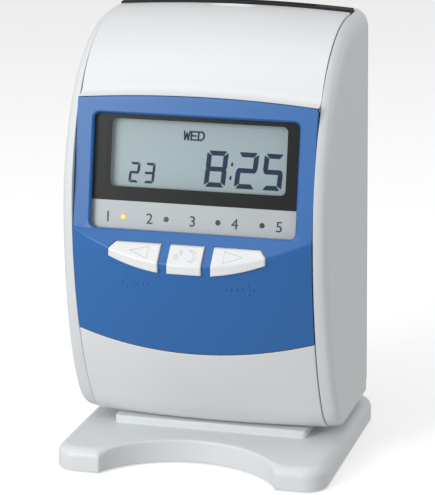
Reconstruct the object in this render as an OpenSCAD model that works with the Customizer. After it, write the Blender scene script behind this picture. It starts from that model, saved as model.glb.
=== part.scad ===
// Desk time clock: a rounded case on a notched stand, with a pull-off front cover that holds
// the display window and three keys, and a card printer behind it.
// X runs to the right, Y to the back and Z up. Setbacks are measured from the stand's front edge.

/* [Stand] */
// Width of the stand plate
base_w = 150; // [140:1:170]
// Depth of the stand plate, front to back
base_d = 137; // [132:1:160]
// Height of the stand plate
base_h = 13.5; // [11:0.5:18]
// Radius of the stand's corners in plan
base_corner_r = 12; // [8:0.5:16]
// Rounding along the stand's upper edge
base_edge_r = 5.5; // [3:0.5:7]
// Wall of the hollow stand
base_wall = 3; // [2:0.5:4]
// Width of the notch in the stand's front edge
notch_w = 98; // [70:1:104]
// Depth of that notch
notch_depth = 29.3; // [18:0.1:34]
// Width of the riser that carries the body
riser_w = 109; // [96:1:116]
// Height of the riser
riser_h = 4.5; // [3:0.5:8]
// Setback of the riser's front face
riser_setback = 47; // [43:1:52]
// Depth of the riser
riser_d = 68; // [62:1:72]
// Diameter of a rubber foot
foot_d = 14; // [10:1:16]
// Height of a rubber foot
foot_h = 3; // [2:0.5:4]
// How far a foot stands out below the stand
foot_proud = 0.6; // [0.4:0.1:1]

/* [Body] */
// Width across the side walls
body_w = 143; // [139:1:150]
// Outward lean of the side walls towards the floor, in degrees
side_lean = 0.7; // [0:0.1:0.8]
// Height at which the leaning side walls stand at the body's width
lean_level = 230; // [210:5:240]
// Setback of the rear face
rear_setback = 125.5; // [122:0.5:130]
// Wall of the case
wall = 2.5; // [2:0.1:3]
// Rounding between the side walls and the front, top and rear
edge_r = 9; // [6:0.5:10]
// Depth of the rear cover
rear_cover_d = 10; // [8:0.5:12]
// Setback of the body's lowest front edge
toe_setback = 57.85; // [56:0.05:60]
// Direction in which the side profile leaves that edge, in degrees from level
toe_angle = 161; // [159:0.5:163]
// Radius of the curl above that edge
heel_r = 36.95; // [35:0.05:39]
// Sweep of the curl
heel_sweep = 38.6; // [37:0.1:40]
// Radius of the lower arc of the side profile
chin_r = 157.5; // [150:0.5:165]
// Sweep of the lower arc
chin_sweep = 13.4; // [12:0.1:15]
// Radius of the middle arc
chest_r = 230; // [215:1:245]
// Sweep of the middle arc
chest_sweep = 19; // [18:0.5:20]
// Radius of the upper arc
brow_r = 125; // [118:1:132]
// Sweep of the upper arc
brow_sweep = 28; // [26:1:30]
// Radius of the top arc
crown_r = 76; // [70:1:82]
// Sweep of the top arc
crown_sweep = 60; // [58:0.5:61]
// Radius of the top rear corner
rear_top_r = 12; // [8:1:14]
// Height of the chamfer under the rear face
rear_chamfer = 8; // [4:1:10]

/* [Front cover] */
// Width of a side wall's shoulder beside the cover
shoulder = 6.25; // [5.5:0.25:7]
// Gap along a seam
seam_gap = 0.4; // [0.3:0.05:0.6]
// Thickness of the cover's skins
skin = 2.5; // [2:0.1:3]
// Bow of the cover at its lowest edge
chin_bow = 5.4; // [3:0.1:8]
// Bow of the panel at the crease under the keys
belly_bow = 14.2; // [12:0.1:16]
// Rise of the cover's middle at the top edge
top_crown = 2.4; // [2:0.1:6]
// How far the upper cover lies behind the side profile at its lower edge
cover_step = 1.8; // [0.5:0.1:2.5]
// How far the upper cover stands above the side walls at the top
cover_rise = 0.2; // [0:0.1:3]
// Height of the gap under the cover
toe_gap = 0.5; // [0.3:0.1:1]
// Height of the panel's top corners above the floor
panel_top_z = 202; // [198:0.5:206]
// Rise of the panel's top edge in the middle
panel_top_arch = 3; // [1:0.1:5]
// Height of the panel's bottom corners above the floor
panel_bottom_z = 76.4; // [70:0.1:84]
// Drop of the panel's bottom edge in the middle
panel_bottom_sag = 8.2; // [5:0.1:10]

/* [Window] */
// Height of the window sill above the floor
sill_z = 134.4; // [132:0.1:137]
// How far the sill lies behind the side profile
sill_inset = 0.4; // [0:0.1:1]
// Backward tilt of the window
window_tilt = 9.9; // [8:0.1:12]
// Margin between the window and the seams
window_margin = 9.55; // [9:0.05:12]
// Height of the window along its slope
window_h = 61; // [58:0.2:63]
// Thickness of the clear lens
lens_t = 2; // [1.5:0.1:2.5]
// Margin of the lens behind the window's edge
lens_lip = 1.6; // [1:0.1:2]
// Thickness of the printed sheets behind the lens
sheet_t = 0.5; // [0.4:0.1:0.8]
// Height of the label strip along the slope
strip_h = 14.5; // [12:0.5:16]
// Margin between the display opening and the window's sides
lcd_margin = 7.7; // [6.5:0.1:11]
// Height of the display opening
lcd_h = 36; // [32:0.5:37]
// Lower edge of the display opening above the sill
lcd_z = 22.5; // [20:0.5:24]
// Depth of the display glass behind the panel's face
lcd_depth = 10.5; // [9:0.5:12]
// Diameter of an indicator light
lamp_d = 2.7; // [2:0.1:3.5]
// Places of the indicator lights along the strip, as shares of the window's width
lamp_shares = [-0.3485, -0.135, 0.119, 0.333];

/* [Keys] */
// Half the width of the middle key
mid_key_half = 9.2; // [7:0.1:10]
// Inner edge of a side key
key_inner_x = 14.4; // [12:0.1:15]
// Distance from a side key's tip to the seam
key_tip_margin = 22.75; // [20:0.25:27]
// Height of the keys' upper edge below the sill
key_top_drop = 5; // [4:0.1:6]
// Height of the keys' crease below the sill
key_crease_drop = 13.5; // [13:0.1:15]
// Height of the keys' lower edge below the sill
key_bottom_drop = 18.4; // [17:0.1:20]
// Sag of a side key's lower edge below a straight line
key_sag = 0.9; // [0:0.1:1.5]
// How far the keys' crease stands in front of the panel
key_proud = 1.3; // [0.8:0.1:2]
// Clearance round a key
key_gap = 0.35; // [0.3:0.05:0.5]
// Travel of a key
key_travel = 0.8; // [0.5:0.1:1]

/* [Card path] */
// Distance from the rear face to the middle of the card slot
slot_to_rear = 21; // [20:0.5:22]
// Distance from the end of the slot to the side frame
slot_margin = 11; // [9:0.5:13]
// Opening of the slot, front to back
slot_gap = 5; // [4.6:0.1:5.4]
// Rim of the slot bezel, front to back
bezel_rim = 2.3; // [2:0.1:2.6]
// How far the bezel stands above the cover
bezel_proud = 1.2; // [0.8:0.1:2]
// Thickness of the card chute's sheets
chute_t = 1.4; // [1:0.1:1.8]
// Height of the feed rollers above the case floor
feed_h = 102; // [98:1:104]
// Radius of a feed roller
feed_r = 8; // [7:0.5:9]
// Radius of a pinch roller
pinch_r = 7; // [6:0.5:8]
// Gap left between the rollers for the card
nip = 0.6; // [0.5:0.1:1]
// Radius of the feed shaft
feed_shaft_r = 2.5; // [2:0.1:3]
// Radius of the pinch shaft
pinch_shaft_r = 1.5; // [1.2:0.1:2]
// Radial clearance of a running shaft
running = 0.05; // [0.02:0.01:0.08]
// Teeth of the feed gear
gear_teeth = 32; // [32, 48]
// Teeth of the motor pinion
pinion_teeth = 16; // [16, 24]
// Module of the gears
gear_module = 1; // [0.9:0.05:1.1]

/* [Printer] */
// Distance from the card to the carriage rods
rod_to_card = 20.5; // [20:0.5:22]
// Radius of a carriage rod
rod_r = 2; // [1.6:0.1:2.4]
// Height of the lower rod above the case floor
rod_low_h = 160; // [158:0.5:162]
// Distance between the two rods
rod_pitch = 25; // [24:0.5:27]
// Width of the carriage
carriage_w = 24; // [20:1:28]
// Travel of the carriage to each side
carriage_travel = 28; // [20:1:30]
// Distance from a belt pulley's axle to the side frame
pulley_inset = 16; // [15:0.5:18]
// Radius of a belt pulley
pulley_r = 6.5; // [6:0.1:7]
// Thickness of the belt
belt_t = 1; // [0.8:0.1:1.2]
// Width of the belt
belt_w = 5; // [4:0.5:5.5]

/* [Frame] */
// Thickness of the sheet-metal side frames
plate_t = 1.5; // [1.2:0.1:2]
// Distance from the case's side to the side frame
frame_gap = 15.5; // [14.5:0.5:16.5]
// Setback of the side frames' front edge
frame_setback = 62; // [60:0.5:64]
// Distance from the rear face to the side frames' rear edge
frame_to_rear = 12.5; // [12:0.5:13]
// Height of the side frames
frame_h = 207; // [205:1:209]
// Thickness of the circuit boards
board_t = 1.6; // [1.2:0.1:2]
// Inset of the frame screws from the side frames
frame_screw_inset = 8; // [6:0.5:10]
// Inset of the stand screws from the riser's edge
stand_screw_inset = 18.5; // [14:0.5:22]
// Distance from a feed roller's middle to the clock's middle
roller_x = 25; // [20:1:30]
// Length of a roller
roller_len = 12; // [8:1:16]
// Inset of the main board from the side frames
main_board_inset = 6; // [4:0.5:10]
// Height of the main board's lower edge above the case floor
main_board_low = 50; // [44:1:56]
// Height of the main board
main_board_h = 118; // [100:1:124]
// Stand-off of the main board from the rear wall
main_board_gap = 1.9; // [1.5:0.1:3]
// Radius of the buzzer
buzzer_r = 7; // [5:0.5:9]
// Width of the transformer's core
core_w = 34; // [28:1:36]
// Depth of the transformer's core
core_d = 22; // [18:1:24]
// Height of the transformer's core
core_h = 30; // [24:1:34]
// Radius of the backup battery
battery_r = 7; // [5:0.5:8]
// Length of the backup battery
battery_len = 36; // [28:1:38]
// Width of the power inlet
inlet_w = 20; // [16:1:22]
// Height of the power inlet
inlet_h = 14; // [10:1:16]
// Side of the card sensor
sensor_w = 10; // [8:0.5:12]
// Spacing of the wall screw holes in the rear cover
wall_hole_pitch = 80; // [60:1:90]
// Radius of a wall screw hole
wall_hole_r = 2.25; // [2:0.05:3]

/* [Hidden] */
$fn = 48;
eps = 0.01;
touch = 0.1;

floor_z = base_h + riser_h;
cover_w = body_w - 2 * shoulder;
window_w = cover_w - 2 * window_margin;
lcd_w = window_w - 2 * lcd_margin;
lamp_x = [for (k = lamp_shares) k * window_w];
key_tip_x = cover_w / 2 - key_tip_margin;
frame_w = body_w - 2 * frame_gap;
slot_w = frame_w - 2 * slot_margin;
pulley_x = frame_w / 2 - pulley_inset;
inner_z = floor_z + wall;

// Side profile as setback and height pairs, from the toe up the front and over the top
function arc_points(p, h, r, sweep, n) =
  [for (i = [1:n]) p + r * [sin(h) - sin(h - sweep * i / n), cos(h - sweep * i / n) - cos(h)]];
function last(v) = v[len(v) - 1];
toe = [toe_setback, floor_z];
heel = arc_points(toe, toe_angle, heel_r, heel_sweep, 6);
chin_angle = toe_angle - heel_sweep;
chin = arc_points(last(heel), chin_angle, chin_r, chin_sweep, 4);
chest_angle = chin_angle - chin_sweep;
chest = arc_points(last(chin), chest_angle, chest_r, chest_sweep, 5);
brow_angle = chest_angle - chest_sweep;
brow = arc_points(last(chest), brow_angle, brow_r, brow_sweep, 6);
crown_angle = brow_angle - brow_sweep;
crown = arc_points(last(brow), crown_angle, crown_r, crown_sweep, 8);
top_angle = crown_angle - crown_sweep;
front_line = concat([toe], heel, chin, chest, brow, crown);
top_end = last(crown);
function top_z(d) = top_end[1] + (d - top_end[0]) * tan(top_angle);
rear_top_z = top_z(rear_setback - rear_top_r);
rear_corner = [for (a = [90:-15:0]) [rear_setback - rear_top_r + rear_top_r * cos(a),
                                     rear_top_z - rear_top_r + rear_top_r * sin(a)]];
case_outline = concat(front_line, rear_corner,
                      [[rear_setback, floor_z + rear_chamfer], [rear_setback - rear_chamfer, floor_z]]);
profile_table = [for (p = front_line) [p[1], p[0]]];
function profile(z) = lookup(z, profile_table);

// Front panel: a flat window plane, a sloping shelf for the keys and a bowed belly
sill_setback = profile(sill_z) + sill_inset;
crease_drop = key_crease_drop + 0.5;
crease_z = sill_z - crease_drop;
function across(x) = 1 - pow(2 * x / cover_w, 2);
function bow(z) = chin_bow + (belly_bow - chin_bow) * (z - floor_z) / (crease_z - floor_z);
function belly(x, z) = profile(z) - bow(z) * across(x);
function window_plane(z) = sill_setback + (z - sill_z) * tan(window_tilt);
function crease_at(x) = sill_z - crease_drop * across(x);
function panel_top_at(x) = panel_top_z + panel_top_arch * across(x);
function panel_bottom_at(x) = panel_bottom_z - panel_bottom_sag * across(x);

// The stand's front edge lies so that the whole clock is centred front to back
crease_setback = belly(0, crease_z) - key_proud;
front_y = -(base_d + crease_setback) / 2;
function sb(d) = front_y + d;

half_body = body_w / 2;
half_seam = cover_w / 2;
half_cover = half_seam - seam_gap / 2;
half_opening = half_seam + seam_gap / 2;
inner_half = half_body - wall;

slot_mid = rear_setback - slot_to_rear;
bezel_front = slot_mid - slot_gap / 2 - bezel_rim;
bezel_rear = slot_mid + slot_gap / 2 + bezel_rim;
cover_top_setback = bezel_front - seam_gap;
bezel_top_z = top_z(bezel_front) + cover_rise + top_crown + bezel_proud;
bezel_bottom_z = inner_z + frame_h - 12;
crown_radius = (pow(half_cover, 2) + pow(top_crown, 2)) / (2 * top_crown);

rear_seam = rear_setback - rear_cover_d;
rear_inner = rear_setback - wall;

frame_half = frame_w / 2;
frame_inner = frame_half - plate_t;
frame_rear = rear_setback - frame_to_rear;
frame_floor = inner_z + plate_t;
frame_top = inner_z + frame_h;

chute_front_face = slot_mid - slot_gap / 2 - 1;
chute_rear_face = slot_mid + slot_gap / 2 + 0.8;
chute_low = inner_z + 40;
print_z = inner_z + rod_low_h + rod_pitch / 2;
chute_front_top = print_z - 19;
chute_half = frame_inner;

feed_z = inner_z + feed_h;
feed_y = slot_mid - nip / 2 - feed_r;
pinch_y = slot_mid + nip / 2 + pinch_r;
gear_mesh = gear_module * (gear_teeth + pinion_teeth) / 2;
pinion_y = feed_y - gear_mesh;
gear_x = [frame_half + 1.2, frame_half + 5.2];
feed_motor_r = 11;

rod_y_at = slot_mid - rod_to_card;
rod_low_z = inner_z + rod_low_h;
rod_high_z = rod_low_z + rod_pitch;
carriage_y = [rod_y_at - 5.5, rod_y_at + 6];
carriage_z = [rod_low_z - 4.5, rod_high_z + 4.5];
belt_z = carriage_z[1] + 0.3 + belt_t + 0.3 + pulley_r;
belt_y = [rod_y_at - belt_w / 2, rod_y_at + belt_w / 2];
bridge_y = [belt_y[0] - 7.7, belt_y[0] - 6.5];
bridge_z = [carriage_z[1] - 7, belt_z + pulley_r + 3];
carriage_motor_r = 12;
carriage_motor_len = 13;

cassette_half = frame_inner - 1.5;
cassette_y = [frame_setback + 0.5, bridge_y[0] - 0.3];
cassette_z = [print_z - 11, print_z + 5.2];
arm_w = 6;
arm_z = [print_z - 5, print_z + 5];
knob_x = -pulley_x * 0.75;
knob_r = 6;
knob_shaft_r = 1.5;

// Places along the window's slope: height above the sill, then depth behind the panel's face
board_depth = lcd_depth + 6.5;
board_half = window_w / 2 + 6;
board_low = -24;
board_high = window_h - 1;
boss_x = window_w / 2 + lens_lip + 2.4;
boss_places = [for (s = [-1, 1], h = [6, 50]) [s * boss_x, h]];
lamp_h = strip_h / 2 - 0.8;
switch_h = 4.5;

stand_screw_places = [for (s = [-1, 1], x = [s * (riser_w / 2 - stand_screw_inset)], d = [riser_setback + 14, riser_setback + riser_d - 14]) [x, d]];
frame_screw_places = [for (s = [-1, 1], x = [s * (frame_half - frame_screw_inset)], d = [frame_setback + 6, frame_rear - 5]) [x, d]];
rear_post = 8;
rear_screw_places = [for (s = [-1, 1], h = [frame_h * 0.116, frame_h * 0.947])
                     [s * (inner_half - rear_post * 0.75), inner_z + h]];
board_post_places = [for (s = [-1, 1], h = [main_board_low + 6, main_board_low + main_board_h - 8])
                     [s * (frame_half - main_board_inset - 6), inner_z + h]];
foot_places = [for (s = [-1, 1], d = [base_corner_r + 2, base_d - base_corner_r - 2])
               [s * (base_w / 2 - base_corner_r - 1), d]];

white = [0.90, 0.92, 0.93];
pale_white = [0.94, 0.95, 0.95];
panel_blue = [0.28, 0.47, 0.70];
black = [0.06, 0.06, 0.07];
steel = [0.72, 0.73, 0.75];
zinc = [0.62, 0.64, 0.66];
board_green = [0.10, 0.36, 0.22];

// Boxes and rods given by their ranges: x, setback and height
module block(x, d, z) {
  translate([x[0], sb(d[0]), z[0]]) cube([x[1] - x[0], d[1] - d[0], z[1] - z[0]]);
}
module rod_along_x(d, z, r, x) {
  translate([x[0], sb(d), z]) rotate([0, 90, 0]) cylinder(r = r, h = x[1] - x[0]);
}
module rod_along_y(x, z, r, d) {
  translate([x, sb(d[0]), z]) rotate([-90, 0, 0]) cylinder(r = r, h = d[1] - d[0]);
}
module rod_along_z(x, d, r, z) {
  translate([x, sb(d), z[0]]) cylinder(r = r, h = z[1] - z[0]);
}
module both_sides() {
  children();
  mirror([1, 0, 0]) children();
}

// The window's own frame: X across, Y into the panel, Z up the slope, origin on the sill
module on_window() {
  translate([0, sb(sill_setback), sill_z]) rotate([-window_tilt, 0, 0]) children();
}
module slab(x, h, depth) {
  translate([x[0], depth[0], h[0]]) cube([x[1] - x[0], depth[1] - depth[0], h[1] - h[0]]);
}
module peg(x, h, r, depth) {
  translate([x, depth[0], h]) rotate([-90, 0, 0]) cylinder(r = r, h = depth[1] - depth[0]);
}

// A skin between an outer and an inner grid of points, rows upward and columns to the right
module skin_between(outer, inner) {
  n = len(outer);
  m = len(outer[0]);
  flat_outer = [for (row = outer, p = row) p];
  flat_inner = [for (row = inner, p = row) p];
  count = n * m;
  function o(i, j) = i * m + j;
  function b(i, j) = count + i * m + j;
  outer_faces = [for (i = [0:n - 2], j = [0:m - 2])
                 each [[o(i, j), o(i + 1, j), o(i + 1, j + 1)], [o(i, j), o(i + 1, j + 1), o(i, j + 1)]]];
  inner_faces = [for (i = [0:n - 2], j = [0:m - 2])
                 each [[b(i, j), b(i + 1, j + 1), b(i + 1, j)], [b(i, j), b(i, j + 1), b(i + 1, j + 1)]]];
  left_faces = [for (i = [0:n - 2]) each [[b(i, 0), b(i + 1, 0), o(i + 1, 0)], [b(i, 0), o(i + 1, 0), o(i, 0)]]];
  right_faces = [for (i = [0:n - 2]) each [[o(i, m - 1), o(i + 1, m - 1), b(i + 1, m - 1)],
                                           [o(i, m - 1), b(i + 1, m - 1), b(i, m - 1)]]];
  low_faces = [for (j = [0:m - 2]) each [[o(0, j + 1), b(0, j + 1), b(0, j)], [o(0, j + 1), b(0, j), o(0, j)]]];
  high_faces = [for (j = [0:m - 2]) each [[o(n - 1, j), b(n - 1, j), b(n - 1, j + 1)],
                                          [o(n - 1, j), b(n - 1, j + 1), o(n - 1, j + 1)]]];
  polyhedron(points = concat(flat_outer, flat_inner),
             faces = concat(outer_faces, inner_faces, left_faces, right_faces, low_faces, high_faces),
             convexity = 6);
}
columns = [for (i = [-6:6]) i * half_cover / 6];
// Inward normal of a list of setback and height pairs at one row
function row_normal(rows, i) =
  let (a = rows[max(i - 1, 0)], b = rows[min(i + 1, len(rows) - 1)], t = (b - a) / norm(b - a)) [t[1], -t[0]];

// Stand

notch_r = (pow(notch_w / 2, 2) + pow(notch_depth, 2)) / (2 * notch_depth);
module notch_disc(grow) {
  rod_along_z(0, notch_depth - notch_r, notch_r + grow, [-1, base_h + 1]);
}
module stand_corner(s, d) {
  r = base_corner_r - base_edge_r;
  translate([s * (base_w / 2 - base_corner_r), sb(d), foot_proud]) rotate_extrude($fn = 32) union() {
    square([base_corner_r, base_h - foot_proud - base_edge_r]);
    square([r, base_h - foot_proud]);
    translate([r, base_h - foot_proud - base_edge_r]) intersection() {
      circle(r = base_edge_r, $fn = 32);
      square(base_edge_r);
    }
  }
}
module base_stand() color(white) {
  inner_w = base_w / 2 - base_wall;
  roof_z = base_h - base_wall;
  difference() {
    union() {
      hull() for (s = [-1, 1], d = [base_corner_r, base_d - base_corner_r]) stand_corner(s, d);
      block([-riser_w / 2, riser_w / 2], [riser_setback, riser_setback + riser_d], [base_h - 1, floor_z]);
    }
    notch_disc(0);
    difference() {
      union() {
        block([-inner_w + base_edge_r, inner_w - base_edge_r], [base_wall, base_d - base_wall], [-1, roof_z]);
        block([-inner_w, inner_w], [base_wall + base_edge_r, base_d - base_wall - base_edge_r],
              [-1, base_h - base_edge_r - 1]);
      }
      notch_disc(base_wall);
      for (p = foot_places) rod_along_z(p[0], p[1], foot_d / 2 + 1, [foot_h, base_h - 1]);
      for (p = stand_screw_places) rod_along_z(p[0], p[1], 6, [base_h - base_wall - 2, base_h - 1]);
    }
    for (p = stand_screw_places) rod_along_z(p[0], p[1], 2.1, [-1, floor_z + 1]);
    for (p = foot_places) rod_along_z(p[0], p[1], foot_d / 2 + touch, [-1, foot_h]);
  }
}
module rubber_feet() color("dimgray")
  for (p = foot_places) rod_along_z(p[0], p[1], foot_d / 2, [0, foot_h]);
module stand_screws() color(zinc)
  for (p = stand_screw_places) {
    head_z = base_h - base_wall - 2;
    rod_along_z(p[0], p[1], 1.9, [head_z - 1, inner_z - touch]);
    rod_along_z(p[0], p[1], 4, [head_z - 2.4, head_z]);
  }

// Case

module outline_slice(x, inset) {
  lean = (x < 0 ? -1 : 1) * tan(side_lean);
  multmatrix([[1, 0, -lean, lean * lean_level], [0, 1, 0, 0], [0, 0, 1, 0], [0, 0, 0, 1]])
    translate([x, front_y, 0]) rotate([90, 0, 90]) linear_extrude(eps) offset(delta = -inset) polygon(case_outline);
}
module case_block() {
  hull() for (s = [-1, 1], a = [0, 26, 50, 70, 90]) {
    outline_slice(s * (half_body - edge_r + edge_r * sin(a)) - (s > 0 ? eps : 0), edge_r * (1 - cos(a)));
  }
}
module case_hollow(grow_x, inset) {
  translate([-grow_x, front_y, 0]) rotate([90, 0, 90]) linear_extrude(2 * grow_x)
    offset(delta = -inset) polygon(case_outline);
}
module rear_case() color(white) {
  difference() {
    union() {
      difference() {
        case_block();
        case_hollow(inner_half, edge_r);
        case_hollow(half_body - edge_r * 0.6, wall + 1.2);
        block([-half_opening, half_opening], [-30, bezel_rear + seam_gap], [inner_z, 400]);
        block([-half_opening, half_opening], [0, rear_seam + 1], [inner_z, frame_top]);
        block([-half_opening, half_opening], [-30, toe_setback + 5], [0, inner_z + 1]);
        block([-base_w, base_w], [rear_seam, rear_setback + 1], [0, 400]);
      }
      for (p = rear_screw_places) {
        s = p[0] > 0 ? 1 : -1;
        post_x = [p[0] - s * rear_post / 2, s * (inner_half + 1)];
        block([min(post_x), max(post_x)], [rear_seam - 14, rear_seam], [p[1] - rear_post / 2, p[1] + rear_post / 2]);
      }
    }
    for (p = rear_screw_places) rod_along_y(p[0], p[1], 1.4, [rear_seam - 8, rear_setback + 1]);
    for (p = stand_screw_places) rod_along_z(p[0], p[1], 2, [floor_z - 1, inner_z + 1]);
    for (p = frame_screw_places) rod_along_z(p[0], p[1], 1.5, [floor_z + 0.5, inner_z + 1]);
  }
}
inlet_x = [frame_half - 8 - inlet_w, frame_half - 8];
inlet_z = [inner_z + 12, inner_z + 12 + inlet_h];
module rear_cover() color(white) {
  difference() {
    union() {
      difference() {
        case_block();
        block([-inner_half + 3, inner_half - 3], [rear_seam - 1, rear_inner],
              [floor_z + rear_chamfer + 1, rear_top_z - rear_top_r]);
        block([-base_w, base_w], [-30, rear_seam + seam_gap], [0, 400]);
      }
      for (p = board_post_places) rod_along_y(p[0], p[1], 3, [rear_inner - main_board_gap, rear_inner + 1]);
      for (p = rear_screw_places) rod_along_y(p[0], p[1], 3.4, [rear_seam + seam_gap, rear_inner + 1]);
    }
    for (p = rear_screw_places) {
      rod_along_y(p[0], p[1], 1.6, [rear_seam - 1, rear_setback + 1]);
      rod_along_y(p[0], p[1], 3.2, [rear_setback - 1.2, rear_setback + 1]);
    }
    for (s = [-1, 1]) rod_along_y(s * wall_hole_pitch / 2, inner_z + 180, wall_hole_r, [rear_inner - 1, rear_setback + 1]);
    block([inlet_x[0] - touch, inlet_x[1] + touch], [rear_inner - 1, rear_setback + 1],
          [inlet_z[0] - touch, inlet_z[1] + touch]);
  }
}
module rear_screws() color(zinc)
  for (p = rear_screw_places) {
    rod_along_y(p[0], p[1], 1.3, [rear_seam - 6, rear_setback - 1]);
    rod_along_y(p[0], p[1], 2.9, [rear_setback - 1.2, rear_setback - 0.1]);
  }
module power_inlet() color(black) difference() {
  block(inlet_x, [rear_inner - 8, rear_setback - 0.2], inlet_z);
  block([inlet_x[0] + 2, inlet_x[1] - 2], [rear_inner - 5, rear_setback + 1], [inlet_z[0] + 2, inlet_z[1] - 2]);
}
module card_slot_bezel() color(black) {
  flange_z = top_z(bezel_front) - 3;
  difference() {
    intersection() {
      union() {
        block([-half_cover, half_cover], [bezel_front, bezel_rear], [flange_z, bezel_top_z + 1]);
        block([-slot_w / 2 - 3, slot_w / 2 + 3], [bezel_front, bezel_rear], [bezel_bottom_z, flange_z + 1]);
      }
      rod_along_y(0, bezel_top_z - crown_radius, crown_radius, [bezel_front - 1, bezel_rear + 1], $fn = 480);
    }
    block([-slot_w / 2, slot_w / 2], [slot_mid - slot_gap / 2, slot_mid + slot_gap / 2],
          [bezel_bottom_z - 1, bezel_top_z + 1]);
  }
}

// Front cover

flare = [[0.2, 0.3], [3.2, 1.2], [6.4, 2.6], [8.0, 4.6]];
flare_rows = [for (f = flare) [window_plane(panel_top_z) + f[0], panel_top_z + f[1]]];
function fade(z) = max(0, min(1, (panel_top_z + 24 - z) / 20));
function lift(d) = cover_rise * max(0, min(1, (d - 50) / (cover_top_setback - 50)));
upper_rows = concat(flare_rows,
  [for (p = concat(brow, crown)) if (p[1] > panel_top_z + 7) [p[0] + cover_step * fade(p[1]), p[1] + lift(p[0])]],
  [[cover_top_setback + 12, top_z(cover_top_setback + 12) + lift(cover_top_setback + 12)]]);
function arch(d) = panel_top_arch + (top_crown - panel_top_arch) * max(0, min(1, (d - 30) / (cover_top_setback - 30)));
module upper_cover() color(pale_white) difference() {
  inner_rows = [for (i = [0:len(upper_rows) - 1])
    i == 0 ? upper_rows[0] + [skin + 0.1, 0.05] : upper_rows[i] + skin * row_normal(upper_rows, i)];
  skin_between(
    [for (r = upper_rows) [for (x = columns) [x, sb(r[0]), r[1] + arch(r[0]) * across(x)]]],
    [for (i = [0:len(upper_rows) - 1])
      [for (x = columns) [x, sb(inner_rows[i][0]), inner_rows[i][1] + arch(upper_rows[i][0]) * across(x)]]]);
  block([-half_body, half_body], [cover_top_setback, rear_setback], [0, 400]);
  thumb_scoop();
}
scoop_r = 42;
scoop_w = 27;
module thumb_scoop() {
  rise = sqrt(pow(scoop_r, 2) - pow(scoop_w / 2, 2));
  translate([0, sb(cover_top_setback), bezel_top_z - bezel_proud + rise]) sphere(r = scoop_r, $fn = 64);
}
lower_steps = 8;
cover_bottom_z = floor_z + toe_gap;
function lower_top_at(x) = panel_bottom_at(x) - seam_gap;
function lower_z(x, i) = cover_bottom_z + (lower_top_at(x) - cover_bottom_z) * i / lower_steps;
module lower_cover() color(pale_white)
  skin_between(
    [for (i = [0:lower_steps]) [for (x = columns) [x, sb(belly(x, lower_z(x, i))), lower_z(x, i)]]],
    [for (i = [0:lower_steps]) [for (x = columns)
      [x, sb(belly(x, lower_z(x, i)) + skin * 1.4), lower_z(x, i) + skin * 0.35 * (1 - i / lower_steps)]]]);
upper_steps = 5;
belly_steps = 9;
module panel_skin() {
  function point(x, i) =
    i <= belly_steps
    ? let (z = panel_bottom_at(x) + (crease_at(x) - panel_bottom_at(x)) * i / belly_steps) [x, sb(belly(x, z)), z]
    : let (z = sill_z + (panel_top_at(x) - sill_z) * (i - belly_steps - 1) / upper_steps) [x, sb(window_plane(z)), z];
  rows = belly_steps + upper_steps + 1;
  skin_between([for (i = [0:rows]) [for (x = columns) point(x, i)]],
               [for (i = [0:rows]) [for (x = columns) point(x, i) + [0, skin, 0]]]);
}
module blue_panel() color(panel_blue) difference() {
  union() {
    panel_skin();
    on_window() for (p = boss_places) peg(p[0], p[1], 1.9, [skin - 1, board_depth]);
  }
  on_window() slab([-window_w / 2, window_w / 2], [0, window_h], [-10, 10]);
  on_window() for (p = boss_places) peg(p[0], p[1], 0.9, [board_depth - 6, board_depth + 1]);
  for (k = [-1, 0, 1]) key_prism(k, key_gap, [crease_setback - 10, sill_setback + 6]);
}
flare_inside = window_plane(panel_top_z) + flare[3][0] + skin + 0.3;
function cover_inside(z) =
  (z < crease_z ? profile(z) + skin * 1.95
   : z < panel_top_z - 10 ? max(profile(z), window_plane(z)) + skin
   : z < panel_top_z + 7 ? flare_inside
   : profile(z) + skin * 1.45 + cover_step * fade(z)) + touch;
rail_x = [half_cover - 2.8, half_cover - 0.3];
rail_d = 7;
rail_steps = 48;
rail_z = [inner_z + 2, panel_top_z + 20];
module rail_outline() {
  heights = [for (i = [0:rail_steps]) rail_z[0] + (rail_z[1] - rail_z[0]) * i / rail_steps];
  polygon(concat([for (z = heights) [cover_inside(z), z]],
                 [for (i = [rail_steps:-1:0]) [cover_inside(heights[i]) + rail_d, heights[i]]]));
}
module cover_bar(z) {
  d = max(cover_inside(z - 2), cover_inside(z + 2)) + 0.3;
  block([-rail_x[0] - 1, rail_x[0] + 1], [d, d + rail_d - 2.4], [z - 2, z + 2]);
}
module cover_frame() color([0.80, 0.82, 0.84]) {
  both_sides() translate([rail_x[0], front_y, 0]) rotate([90, 0, 90]) linear_extrude(rail_x[1] - rail_x[0])
    rail_outline();
  cover_bar(panel_top_z + 15);
  cover_bar(panel_bottom_z - 22);
}

// Display window

lens_half = window_w / 2 + lens_lip;
lens_h = [-lens_lip, window_h + lens_lip];
lens_back = skin + lens_t;
sheet_back = lens_back + sheet_t;
module window_lens() color([0.75, 0.80, 0.85, 0.35])
  on_window() slab([-lens_half, lens_half], lens_h, [skin, lens_back]);
module lens_mask() color(black) on_window() difference() {
  slab([-lens_half, lens_half], [strip_h + 0.6, lens_h[1]], [lens_back, sheet_back]);
  slab([-lcd_w / 2, lcd_w / 2], [lcd_z, lcd_z + lcd_h], [0, 20]);
}
module label_strip() color([0.82, 0.83, 0.84]) on_window() difference() {
  slab([-lens_half, lens_half], [lens_h[0], strip_h + 0.5], [lens_back, sheet_back]);
  for (x = lamp_x) peg(x, lamp_h, lamp_d / 2 + touch, [0, 20]);
}
module lamp(x) {
  peg(x, lamp_h, lamp_d / 2, [lens_back, board_depth]);
}
module lamp_lit() color("gold") on_window() lamp(lamp_x[0]);
module lamps_dark() color([0.2, 0.22, 0.25]) on_window() for (i = [1:len(lamp_x) - 1]) lamp(lamp_x[i]);
lcd_rim = 3;
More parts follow.
